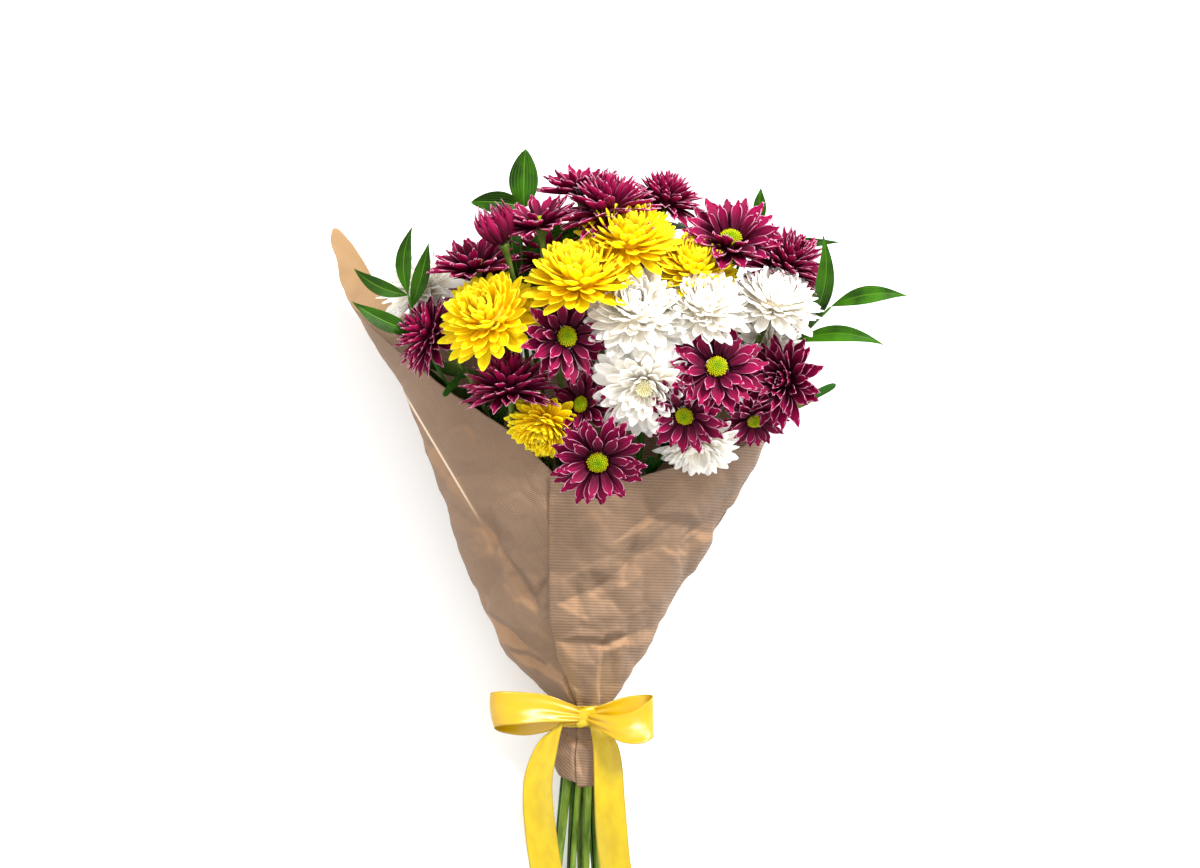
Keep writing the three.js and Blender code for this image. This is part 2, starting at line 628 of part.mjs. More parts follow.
// A flower's frame: its middle, with +Z the way it faces.
function flowerFrame({ at, lean, bearing, size }, spin = 0) {
  const facing = new THREE.Vector3().setFromSphericalCoords(1, lean * DEG, 0);
  facing.set(
    Math.sin(lean * DEG) * Math.cos(bearing * DEG),
    Math.sin(lean * DEG) * Math.sin(bearing * DEG),
    Math.cos(lean * DEG),
  );
  const turn = new THREE.Quaternion()
    .setFromUnitVectors(UP, facing)
    .multiply(new THREE.Quaternion().setFromAxisAngle(UP, spin));
  return { facing, matrix: new THREE.Matrix4().compose(point(at), turn, new THREE.Vector3(size, size, size)) };
}

// A leaf along a bowed line, from one point to another.
function leaf(base, tip, { width, bulge = 0, arch = 3, shape = "ruscus" }) {
  const run = tip.clone().sub(base);
  const across = new THREE.Vector3().crossVectors(UP, run).normalize();
  const middle = base.clone().lerp(tip, 0.5).addScaledVector(across, 2 * bulge).addScaledVector(UP, 2 * arch);
  const line = new THREE.QuadraticBezierCurve3(base, middle, tip);
  return blade(
    OUTLINES[shape].map(([s, share]) => {
      const up = new THREE.Vector3().crossVectors(line.getTangent(s), across).normalize();
      const half = (share * width) / 2;
      return { centre: line.getPoint(s), side: across, up, half, rise: 0.16 * half, keel: 0.9 };
    }),
  );
}

// One spray: a main stem from its cut end through the tie to a hub, a stalk and calyx for each flower,
// and leaves on the stalks. Where a line would touch a neighbour it bows to one side.
function sprayStems({ name, slot, hub: share, flowers, leaves = [] }) {
  const tie = slotPoint(slot);
  const heads = flowers.map((flower) => {
    const { facing } = flowerFrame(flower);
    const [, bottom] = CALYX[0];
    const base = point(flower.at).addScaledVector(facing, bottom * flower.size);
    return { facing, base, flower };
  });
  const middle = new THREE.Vector3();
  heads.forEach(({ base, facing }) => middle.add(base).addScaledVector(facing, -24));
  const rise = middle.divideScalar(heads.length).sub(tie).multiplyScalar(share);
  const main = firstClear(
    BOWS.map((bow) => () => {
      const hub = tie.clone().add(rise).addScaledVector(bow, 0.9);
      const curve = new THREE.CatmullRomCurve3([
        cutEnd(slot),
        tie.clone().lerp(cutEnd(slot), 0.3),
        tie,
        tie.clone().addScaledVector(rise, 0.16).add(new THREE.Vector3(0, 8, 0)),
        tie.clone().addScaledVector(rise, 0.6).add(bow),
        hub,
      ]);
      const points = [0, 1, 2, 2.5, 3, 3.5, 4, 5].map((mark) => curve.getPoint(mark / 5));
      return { hub, solids: [tube(points, taper(8, STEM_RADIUS, STEM_RADIUS * 0.86), 5)] };
    }),
    name,
  );
  if (!main) throw new Error(name + ": no way for its main stem");
  place(main.solids[0], name);
  const heading = rise.clone().normalize();
  const stalks = heads.map(({ base, facing, flower }) => {
    const calyx = CALYX.slice(1).map(([, height]) => point(flower.at).addScaledVector(facing, height * flower.size));
    const radii = [...taper(5, PEDUNCLE_RADIUS, PEDUNCLE_RADIUS * 1.1), ...CALYX.slice(1).map(([r]) => r * flower.size)];
    const reach = base.distanceTo(main.hub) * 0.38;
    const stalk = firstClear(
      BOWS.map((bow) => () => {
        const curve = new THREE.CubicBezierCurve3(
          main.hub.clone().addScaledVector(heading, -3),
          main.hub.clone().addScaledVector(heading, reach).add(bow),
          base.clone().addScaledVector(facing, -0.6 * reach).add(bow),
          base,
        );
        return { curve, solids: [tube([...curve.getSpacedPoints(4), ...calyx], radii, STALK_SIDES)] };
      }),
      name,
    );
    if (!stalk) throw new Error(flower.name + ": no way for its stalk");
    place(stalk.solids[0], name);
    return stalk;
  });
  const blades = leaves.map(({ on, from, tip, width }) => {
    const base = stalks[on].curve.getPointAt(from);
    const made = firstClear(
      BOWS.map((bow) => () => ({
        solids: [leaf(base, point(tip).addScaledVector(bow, 0.7), { width, shape: "lobed" })],
      })),
      name,
    );
    if (!made) throw new Error(name + ": no room for a leaf");
    place(made.solids[0], name);
    return made;
  });
  return [main, ...stalks, ...blades].flatMap(({ solids }) => solids);
}

// A foliage sprig: a thin stem and its leaves.
function sprig({ name, slot, path, leaves }) {
  const stem = firstClear(
    BOWS.map((bow) => () => {
      const [first, ...rest] = path.map(point);
      const curve = new THREE.CatmullRomCurve3([
        cutEnd(slot),
        slotPoint(slot).lerp(cutEnd(slot), 0.3),
        slotPoint(slot),
        slotPoint(slot).lerp(first, 0.16).add(new THREE.Vector3(0, 8, 0)),
        first.add(bow),
        ...rest,
      ]);
      const points = [0, 1, 2, 2.5, 3, 3.5, 4, 5, 5.5, 6, 7].map((mark) => curve.getPoint(mark / 7));
      return { points, solids: [tube(points, taper(11, ...SPRIG_RADIUS), 4)] };
    }),
    name,
  );
  if (!stem) throw new Error(name + ": no way for its stem");
  place(stem.solids[0], name);
  const blades = leaves.map(({ base, tip, ...form }, i) => {
    const joint = stem.points.slice(4).reduce((a, b) => (a.distanceTo(point(base)) < b.distanceTo(point(base)) ? a : b));
    const made = firstClear(
      BOWS.map((bow) => () => ({
        solids: [leaf(joint.clone(), point(tip).addScaledVector(bow, 0.5), form)],
      })),
      name,
    );
    if (!made) throw new Error(name + ": no room for leaf " + i);
    place(made.solids[0], name);
    return made.solids[0];
  });
  return [stem.solids[0], ...blades];
}

// The rows of points on a flower's core. Each row stands half a step round from the one below.
function coreRows({ core, petals }, matrix) {
  return core.map(([radius, height], k) =>
    counted(petals, (j) => {
      const angle = ((j + k / 2) / petals) * 2 * Math.PI;
      return new THREE.Vector3(radius * Math.cos(angle), radius * Math.sin(angle), height).applyMatrix4(matrix);
    }),
  );
}

// The faces of a bare core: its caps and the gaps between petals, and by ring the faces that petals grow from.
function coreFaces({ core, petals: count }) {
  const at = (k, j) => k * count + ((j + count) % count);
  const top = core.length - 1;
  const bands = counted(top, (k) => counted(count, (j) => j).map((j) => ({ k, j })));
  return {
    gaps: [
      ...bands.flat().map(({ k, j }) => [at(k, j), at(k, j + 1), at(k + 1, j)]),
      ...counted(count - 2, (i) => [at(0, 0), at(0, i + 2), at(0, i + 1)]),
      ...counted(count - 2, (i) => [at(top, 0), at(top, i + 1), at(top, i + 2)]),
    ],
    roots: bands.map((band) => band.map(({ k, j }) => [at(k + 1, j - 1), at(k, j), at(k + 1, j)])),
  };
}
function coreSolid(kind, matrix) {
  const { gaps, roots } = coreFaces(kind);
  return solidOf(coreRows(kind, matrix).flat(), [...gaps, ...roots.flat()]);
}

// The sections of a petal beyond its root, each as its left edge, keel and right edge, or a tip.
function petalSections(kind, ring, row, azimuth, lift, length, matrix) {
  const [radius, height] = kind.core[row + 1];
  const radial = new THREE.Vector3(Math.cos(azimuth), Math.sin(azimuth), 0);
  const side = new THREE.Vector3(-Math.sin(azimuth), Math.cos(azimuth), 0);
  const centre = radial.clone().multiplyScalar(radius * Math.cos(Math.PI / kind.petals)).setZ(height);
  let reached = 0;
  return OUTLINES[ring.shape].map(([s, width]) => {
    const angle = (lift + ring.curl * s) * DEG;
    const up = radial.clone().multiplyScalar(-Math.sin(angle)).setZ(Math.cos(angle));
    centre.addScaledVector(radial, (s - reached) * length * Math.cos(angle));
    centre.addScaledVector(UP, (s - reached) * length * Math.sin(angle));
    reached = s;
    const half = (width * ring.width) / 2;
    const edge = centre.clone().addScaledVector(up, EDGE_RISE * half);
    const section = [
      edge.clone().addScaledVector(side, -half),
      centre.clone().addScaledVector(up, -KEEL * (1 - 0.4 * s)),
      edge.clone().addScaledVector(side, half),
    ];
    return (half > 0 ? section : [centre.clone()]).map((p) => p.applyMatrix4(matrix));
  });
}

// A flower: its core with petals grown out of it, each bent clear of what is already there.
function flowerSolid(flower, matrix, seed) {
  const random = seeded(seed);
  const kind = KINDS[flower.kind];
  const points = coreRows(kind, matrix).flat();
  const { gaps: triangles, roots } = coreFaces(kind);
  const count = kind.petals;
  let outer = counted(count, () => -Infinity);
  kind.rings.forEach((ring, k) => {
    outer = counted(count, (j) => {
      const root = roots[k][j];
      const azimuth = ((j + k / 2) / count) * 2 * Math.PI;
      const least = Math.max(outer[j], outer[(j + 1) % count]) + LIFTS.between;
      const wanted = ring.lift + 8 * random();
      const length = ring.length * (1 + 0.12 * random());
      const tries = GIVES.map(([extra, share]) => [wanted + extra, share])
        .filter(([lift]) => lift >= least && lift <= LIFTS.most)
        .map(([lift, share]) => () => {
          const sections = petalSections(kind, ring, k, azimuth, lift, share * length, matrix);
          return { lift, sections, solids: [loft([root.map((n) => points[n]), ...sections])] };
        });
      const made = firstClear(tries, flower.name);
      if (!made) {
        triangles.push(root);
        return outer[j];
      }
      place(made.solids[0], flower.name);
      let from = root;
      for (const section of made.sections) {
        const to = section.map((p) => points.push(p) - 1);
        counted(3, (i) => {
          const [a, b] = [from[i], from[(i + 1) % 3]];
          triangles.push([a, b, to[(i + 1) % to.length]]);
          if (to.length > 1) triangles.push([a, to[(i + 1) % 3], to[i]]);
        });
        from = to;
      }
      if (from.length > 1) triangles.push(from);
      return made.lift;
    });
  });
  return solidOf(points, triangles);
}

// ---- The bouquet ----------------------------------------------------------------------------------------

const wrap = paperWrap();
place(wrap, "paper_wrap");
addPiece("paper_wrap", [wrap], "paper");

const bow = ribbon();
bow.forEach((solid) => place(solid, "satin_ribbon"));
addPiece("satin_ribbon", bow, "ribbon");

// The flowers' middles go in first, so that stems and leaves keep clear of them.
const blooms = SPRAYS.flatMap((spray) =>
  spray.flowers.map((flower, i) => {
    const { matrix } = flowerFrame(flower, 0.7 * i);
    const kind = KINDS[flower.kind];
    const core = coreSolid(kind, matrix);
    const disc = kind.disc ? turned(DISC, DISC_SIDES, matrix, 0.04) : null;
    for (const [solid, owner] of [[core, flower.name], [disc, flower.name + "_disc"]]) {
      if (!solid) continue;
      if (!clears(solid, flower.name)) console.error(owner + " touches a neighbour");
      place(solid, owner);
    }
    place(turned(CALYX, STALK_SIDES, matrix), spray.name);
    return { spray, flower, matrix, disc };
  }),
);

for (const spray of SPRAYS) addPiece(spray.name, sprayStems(spray), "stem");
for (const foliage of SPRIGS) addPiece(foliage.name, sprig(foliage), "leaf");

for (const { flower, disc } of blooms) {
  if (disc) addPiece(flower.name + "_disc", [disc], flower.name === "flower_white_open" ? "cream" : "disc");
}
blooms
  .sort((a, b) => b.flower.at[2] - a.flower.at[2])
  .forEach(({ spray, flower, matrix }, i) =>
    addPiece(flower.name, [flowerSolid(flower, matrix, 100 + i)], spray.colour),
  );

export default bouquet;
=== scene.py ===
"""A bouquet of chrysanthemums in ribbed kraft paper, tied with a satin ribbon.

The bouquet lies on its back, with its flowers towards +Y. Every class works in millimetres from the tie,
as the solids' own tables do, and each piece moves to its place in metres when it is finished.
"""

import logging
import math
import random
from dataclasses import dataclass, field, replace
from enum import Enum
from typing import Callable, Iterable, Sequence

import bmesh
import bpy
from mathutils import Color, Matrix, Quaternion, Vector, noise


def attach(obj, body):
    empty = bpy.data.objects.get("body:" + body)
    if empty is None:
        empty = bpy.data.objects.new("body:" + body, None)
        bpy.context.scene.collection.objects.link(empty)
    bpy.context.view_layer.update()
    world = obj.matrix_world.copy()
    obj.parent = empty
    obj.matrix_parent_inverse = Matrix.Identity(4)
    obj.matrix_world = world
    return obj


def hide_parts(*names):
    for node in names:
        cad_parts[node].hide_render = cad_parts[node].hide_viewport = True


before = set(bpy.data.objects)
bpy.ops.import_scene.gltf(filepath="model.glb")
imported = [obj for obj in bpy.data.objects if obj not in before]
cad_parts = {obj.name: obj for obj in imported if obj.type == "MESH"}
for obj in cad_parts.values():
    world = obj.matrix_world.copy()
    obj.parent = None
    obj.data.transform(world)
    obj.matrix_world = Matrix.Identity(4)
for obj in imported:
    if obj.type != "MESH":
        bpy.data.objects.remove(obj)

log = logging.getLogger("bouquet")

REST_Y = 190.0  # the middle of the flat spot, above the tie
TO_FRAME = Matrix.Scale(0.001, 4) @ Matrix.Translation((0.0, -REST_Y, 0.0))
UP = Vector((0.0, 0.0, 1.0))
GOLDEN_ANGLE = math.radians(137.508)
BODY = "root"

Triple = tuple[float, float, float]
Pair = tuple[float, float]


# ---- Small tools ---------------------------------------------------------------------------------------


def clamp(value: float, low: float = 0.0, high: float = 1.0) -> float:
    """Keep a value between two limits."""
    return max(low, min(high, value))


def smooth(t: float) -> float:
    """Ease a share from 0 to 1."""
    t = clamp(t)
    return t * t * (3.0 - 2.0 * t)


def mix(a: float, b: float, t: float) -> float:
    """Go from a to b by a share."""
    return a + (b - a) * t


def along(table: Sequence[Sequence[float]], key: float, column: int = 1) -> float:
    """Read a table of rows by its first column, in straight lines between rows.

    Args:
        table: Rows in rising or falling order of their first column.
        key: The value to look up in the first column.
        column: The column that is read.

    Returns:
        The value there, or the first or last row's value beyond the table's ends.
    """
    for before, after in zip(table, table[1:]):
        low, high = sorted((before[0], after[0]))
        if low <= key <= high and high > low:
            return mix(before[column], after[column], (key - before[0]) / (after[0] - before[0]))
    nearest = min((table[0], table[-1]), key=lambda row: abs(row[0] - key))
    return nearest[column]


def spline(points: Sequence[Vector], t: float) -> Vector:
    """Follow a smooth curve through points.

    Args:
        points: The points that the curve goes through.
        t: The share of the way, by count of points.

    Returns:
        The point on the curve.
    """
    last = len(points) - 1
    place = clamp(t) * last
    i = min(int(place), last - 1)
    u = place - i
    a, b, c, d = (points[max(0, min(last, i + k))] for k in (-1, 0, 1, 2))
    return 0.5 * (
        2.0 * b
        + (c - a) * u
        + (2.0 * a - 5.0 * b + 4.0 * c - d) * u * u
        + (3.0 * b - a - 3.0 * c + d) * u * u * u
    )


def heading(points: Sequence[Vector], t: float, step: float = 0.01) -> Vector:
    """Give the way that a smooth curve through points goes.

    Args:
        points: The points that the curve goes through.
        t: The share of the way, by count of points.
        step: The share that it looks ahead and back.

    Returns:
        The step from the point behind to the point ahead.
    """
    return spline(points, min(1.0, t + step)) - spline(points, max(0.0, t - step))


def colour(code: str) -> tuple[float, float, float, float]:
    """Turn a hex colour into the linear colour that a shader takes."""
    channels = [int(code[i : i + 2], 16) / 255.0 for i in (1, 3, 5)]
    linear = Color(channels).from_srgb_to_scene_linear()
    return (*linear, 1.0)


def grid(mesh: bmesh.types.BMesh, across: int, lengthwise: int) -> list[bmesh.types.BMVert]:
    """Add a square grid with UVs from 0 to 1, whose points lie between -1 and 1.

    Args:
        mesh: The mesh that it joins.
        across: Its faces along X.
        lengthwise: Its faces along Y.

    Returns:
        The new points.
    """
    made = bmesh.ops.create_grid(mesh, x_segments=across, y_segments=lengthwise, size=1.0, calc_uvs=True)
    return made["verts"]


def finish_piece(
    name: str,
    mesh: bmesh.types.BMesh,
    material: bpy.types.Material,
    slot: str,
    replaced: Iterable[str] = (),
) -> bpy.types.Object:
    """Turn a mesh in millimetres into a piece of the bouquet.

    Args:
        name: The piece's name.
        mesh: Its mesh, from the tie. It is freed.
        material: Its finish.
        slot: The record's material slot. It is not used.
        replaced: The solids that it stands for.

    Returns:
        The piece's object.
    """
    mesh.transform(TO_FRAME)
    data = bpy.data.meshes.new(name)
    mesh.to_mesh(data)
    mesh.free()
    for face in data.polygons:
        face.use_smooth = True
    data.materials.append(material)
    piece = bpy.data.objects.new(name, data)
    bpy.context.scene.collection.objects.link(piece)
    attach(piece, BODY)
    nodes = tuple(replaced)
    if nodes:
        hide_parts(*nodes)
    log.info("%s: %d faces", name, len(data.polygons))
    return piece


def thicken(piece: bpy.types.Object, thickness: float, offset: float = 0.0) -> None:
    """Give a sheet its thickness.

    Args:
        piece: The sheet.
        thickness: In metres.
        offset: Which side it grows to, from -1 to 1.
    """
    wall = piece.modifiers.new("thickness", "SOLIDIFY")
    wall.thickness = thickness
    wall.offset = offset
    wall.use_even_offset = False
    wall.use_quality_normals = False


def subdivide(piece: bpy.types.Object, levels: int) -> None:
    """Smooth a piece with a subdivision surface."""
    surface = piece.modifiers.new("smooth", "SUBSURF")
    surface.levels = levels
    surface.render_levels = levels


# ---- Materials -----------------------------------------------------------------------------------------


class Shader:
    """A material under construction, with short calls for its nodes."""

    def __init__(self, name: str, roughness: float, **constants: float | Triple) -> None:
        """Start a material.

        Args:
            name: The material's name.
            roughness: Its roughness, where nothing else sets it.
            **constants: Other values of the main shader, by socket name with _ for each space.
        """
        self.material = bpy.data.materials.new(name)
        self.material.use_nodes = True
        self.tree = self.material.node_tree
        self.main = self.tree.nodes["Principled BSDF"]
        self.main.inputs["Roughness"].default_value = roughness
        for socket, value in constants.items():
            self.main.inputs[socket.replace("_", " ")].default_value = value

    def node(self, kind: str, inputs: dict[str | int, object], **settings: object) -> bpy.types.Node:
        """Add a node.

        Args:
            kind: Blender's name for it, without ShaderNode.
            inputs: A value or a socket for each input.
            **settings: The node's own properties.

        Returns:
            The node.
        """
        made = self.tree.nodes.new("ShaderNode" + kind)
        for key, value in settings.items():
            setattr(made, key, value)
        for key, value in inputs.items():
            if isinstance(value, bpy.types.NodeSocket):
                self.tree.links.new(value, made.inputs[key])
            else:
                made.inputs[key].default_value = value
        return made

    def math(self, operation: str, *values: object) -> bpy.types.NodeSocket:
        """Calculate one number from others."""
        return self.node("Math", dict(enumerate(values)), operation=operation).outputs[0]

    def position(self) -> bpy.types.NodeSocket:
        """Read the place on the object, in metres."""
        return self.node("TexCoord", {}).outputs["Object"]

    def surface(self, layer: str) -> tuple[bpy.types.NodeSocket, bpy.types.NodeSocket]:
        """Read the two numbers of a UV map."""
        split = self.node("SeparateXYZ", {0: self.node("UVMap", {}, uv_map=layer).outputs[0]})
        return split.outputs[0], split.outputs[1]

    def tone(self) -> bpy.types.NodeSocket:
        """Read how a part of a piece differs from its neighbours, from -1 to 1."""
        return self.node("Attribute", {}, attribute_name="tone").outputs["Fac"]

    def off_centre(self, across: object) -> bpy.types.NodeSocket:
        """Turn a share across a piece into its distance from the middle line, from 0 to 1."""
        return self.math("MULTIPLY", self.math("ABSOLUTE", self.math("SUBTRACT", across, 0.5)), 2.0)

    def noise(
        self, vector: object, scale: float, detail: float = 2.0, rough: float = 0.5
    ) -> bpy.types.NodeSocket:
        """Make soft random patches from 0 to 1."""
        return self.node(
            "TexNoise", {"Vector": vector, "Scale": scale, "Detail": detail, "Roughness": rough}
        ).outputs[0]

    def point(self, x: object, y: object, z: object = 0.0) -> bpy.types.NodeSocket:
        """Join three numbers into a vector."""
        return self.node("CombineXYZ", {0: x, 1: y, 2: z}).outputs[0]

    def blend(self, share: object, first: object, second: object, way: str = "MIX") -> bpy.types.NodeSocket:
        """Blend two colours."""
        made = self.node("Mix", {0: share, 6: first, 7: second}, data_type="RGBA", blend_type=way)
        return made.outputs[2]

    def band(
        self, value: object, start: float, end: float, low: float = 0.0, high: float = 1.0
    ) -> bpy.types.NodeSocket:
        """Ease from low to high while a value goes from start to end."""
        return self.node(
            "MapRange", {0: value, 1: start, 2: end, 3: low, 4: high}, interpolation_type="SMOOTHSTEP"
        ).outputs[0]

    def ramp(self, share: object, stops: Sequence[tuple[float, str]]) -> bpy.types.NodeSocket:
        """Read a colour off a ramp of hex colours."""
        made = self.node("ValToRGB", {0: share})
        band = made.color_ramp
        while len(band.elements) < len(stops):
            band.elements.new(0.5)
        for element, (place, code) in zip(band.elements, stops):
            element.position = place
            element.color = colour(code)
        return made.outputs[0]

    def brighten(self, base: object, amount: object) -> bpy.types.NodeSocket:
        """Multiply a colour by a number."""
        grey = self.node("CombineColor", {0: amount, 1: amount, 2: amount}).outputs[0]
        return self.blend(1.0, base, grey, "MULTIPLY")

    def bump(self, height: object, distance: float, strength: float = 1.0) -> None:
        """Raise the surface by a height from 0 to 1 times a distance in metres."""
        made = self.node("Bump", {"Height": height, "Distance": distance, "Strength": strength})
        self.tree.links.new(made.outputs[0], self.main.inputs["Normal"])

    def paint(self, base: bpy.types.NodeSocket) -> bpy.types.Material:
        """Set the main colour, which completes the material."""
        self.tree.links.new(base, self.main.inputs["Base Color"])
        return self.material

    def set(self, socket: str, value: bpy.types.NodeSocket) -> None:
        """Drive one of the main shader's inputs."""
        self.tree.links.new(value, self.main.inputs[socket])


@dataclass(frozen=True)
class PetalFinish:
    """A petal's colours from its foot to its tip, its pale margin and its ribs."""

    slot: str
    # darker at the foot: partly the petal's own colour, partly painted shade deep in the flower near its
    # heart
    foot: str
    middle: str
    tip: str
    margin: str
    margin_share: float  # the margin's width, as a share of half the petal's
    streak: str
    streak_share: float  # how strongly the streaks show
    glow: float  # how much light goes through it
    glow_tint: Triple  # how far red, green and blue light spread inside it
    gloss: float
    variety: float  # how much the petals differ in brightness
    roughness: float = 0.62
    fibres: float = 13.0  # how many soft streaks lie across a petal
    ragged: float = 0.14  # how far the margin's inner edge wanders, as a share of half the width
    rim_ease: float = 0.08  # over which the margin comes in
    ribs: float = 31.0  # the ribs' phase across a petal, in radians
    relief: float = 0.0004

    def make(self) -> bpy.types.Material:
        """Make the material, which reads the petal UV map and the tone attribute."""
        shader = Shader(
            self.slot, self.roughness, Subsurface_Weight=self.glow, Subsurface_Scale=0.003,
            Subsurface_Radius=self.glow_tint, Specular_IOR_Level=self.gloss,
        )
        across, lengthwise = shader.surface("petal")
        tone = shader.tone()
        side = shader.off_centre(across)
        shift = shader.math("MULTIPLY", tone, 7.0)
        streaked = shader.point(shader.math("MULTIPLY", across, self.fibres), lengthwise, shift)
        fibres = shader.noise(streaked, 1.0, 3.0)
        # The ramp darkens each petal towards its foot: partly its own colour, partly painted shade near the
        # flower's heart.
        base = shader.ramp(lengthwise, ((0.0, self.foot), (0.38, self.middle), (0.85, self.tip)))
        streaks = shader.band(fibres, 0.42, 0.72, 0.0, self.streak_share)
        base = shader.blend(streaks, base, colour(self.streak))
        ragged = shader.noise(shader.point(side, shader.math("MULTIPLY", lengthwise, 9.0), shift), 2.0)
        ragged = shader.math("MULTIPLY", shader.math("SUBTRACT", ragged, 0.5), self.ragged)
        crown = shader.band(lengthwise, 0.84, 1.0)
        edge = shader.math("ADD", shader.math("MAXIMUM", side, crown), ragged)
        inner = 1.0 - self.margin_share
        rim = shader.band(edge, inner, inner + self.rim_ease)
        rim = shader.math("MULTIPLY", rim, shader.band(lengthwise, 0.3, 0.95, 0.0, 0.95))
        base = shader.blend(rim, base, colour(self.margin))
        base = shader.brighten(base, shader.math("MULTIPLY_ADD", tone, self.variety, 1.0))
        ribs = shader.math("SINE", shader.math("MULTIPLY", across, self.ribs))
        ribs = shader.math("MULTIPLY_ADD", ribs, 0.3, fibres)
        shader.bump(ribs, self.relief, 0.55)
        return shader.paint(base)


@dataclass(frozen=True)
class FloretFinish:
    """The tiny florets of a flower's middle, from the middle outwards."""

    slot: str
    depth: str  # painted shade between the florets, on the dome under them
    heart: str
    body: str
    rim: str
    speckles: float = 900.0  # a metre
    relief: float = 0.0002

    def make(self) -> bpy.types.Material:
        """Make the material, which reads the tone attribute as the share of the way out."""
        shader = Shader(self.slot, 0.6, Specular_IOR_Level=0.1, Subsurface_Weight=0.1, Subsurface_Scale=0.002)
        outwards = shader.tone()
        speckle = shader.noise(shader.position(), self.speckles, 2.0)
        # The dome under the florets takes the painted shade between them; the florets go from the heart's
        # colour out to the rim's.
        base = shader.ramp(
            outwards, ((0.0, self.depth), (0.12, self.heart), (0.6, self.body), (1.0, self.rim))
        )
        base = shader.brighten(base, shader.band(speckle, 0.3, 0.7, 0.8, 1.15))
        shader.bump(speckle, self.relief, 0.6)
        return shader.paint(base)


@dataclass(frozen=True)
class LeafFinish:
    """A leaf's or a stem's green, with fine veins along it where it has a UV map."""

    slot: str
    deep: str
    fresh: str
    vein: str
    roughness: float
    veins: float  # across a leaf, or 0 for a stem
    shaded: Pair = (-0.1, 0.0)  # where along the bouquet a stem darkens among the leaves, in metres
    blade: str = "#1f4a0c"  # a stem's own leaves
    grain: float = 900.0  # a metre
    vein_relief: float = 0.0002
    stem_relief: float = 0.0004

    def make(self, name: str) -> bpy.types.Material:
        """Make the material.

        Args:
            name: The material's name. A leaf's reads the petal UV map and a stem's the place alone.

        Returns:
            The material.
        """
        shader = Shader(
            name, self.roughness, Subsurface_Weight=0.06, Subsurface_Scale=0.003, Specular_IOR_Level=0.12
        )
        place = shader.position()
        patches = shader.noise(place, 38.0, 3.0)
        base = shader.blend(shader.band(patches, 0.3, 0.7), colour(self.deep), colour(self.fresh))
        fine = shader.noise(place, self.grain, 2.0)
        if self.veins > 0.0:
            # Each leaf's tone lightens or darkens it: at random on the stalk leaves, and as painted light and
            # shade on the sprigs' leaves.
            base = shader.brighten(base, shader.math("MULTIPLY_ADD", shader.tone(), 0.5, 1.0))
            across, lengthwise = shader.surface("petal")
            side = shader.off_centre(across)
            wave = shader.math("SINE", shader.math("MULTIPLY", across, self.veins * 2.0 * math.pi))
            midrib = shader.band(side, 0.0, 0.09, 1.0, 0.0)
            base = shader.blend(shader.band(wave, 0.4, 1.0, 0.0, 0.22), base, colour(self.vein))
            base = shader.blend(shader.math("MULTIPLY", midrib, 0.55), base, colour(self.vein))
            edge = shader.band(lengthwise, 0.93, 1.0, 0.0, 0.4)
            base = shader.blend(edge, base, colour(self.vein))
            shader.bump(shader.math("MULTIPLY_ADD", fine, 0.3, wave), self.vein_relief, 0.5)
        else:
            tall = shader.node("Mapping", {0: place, 3: (1.0, 0.06, 1.0)}).outputs[0]
            fibres = shader.noise(tall, 420.0, 3.0)
            base = shader.blend(shader.band(fibres, 0.4, 0.75, 0.0, 0.4), base, colour(self.vein))
            height = shader.node("SeparateXYZ", {0: place}).outputs[1]
            base = shader.brighten(base, shader.band(height, *self.shaded, 1.0, 0.42))
            base = shader.blend(shader.tone(), base, colour(self.blade))
            shader.bump(fibres, self.stem_relief, 0.6)
        return shader.paint(base)


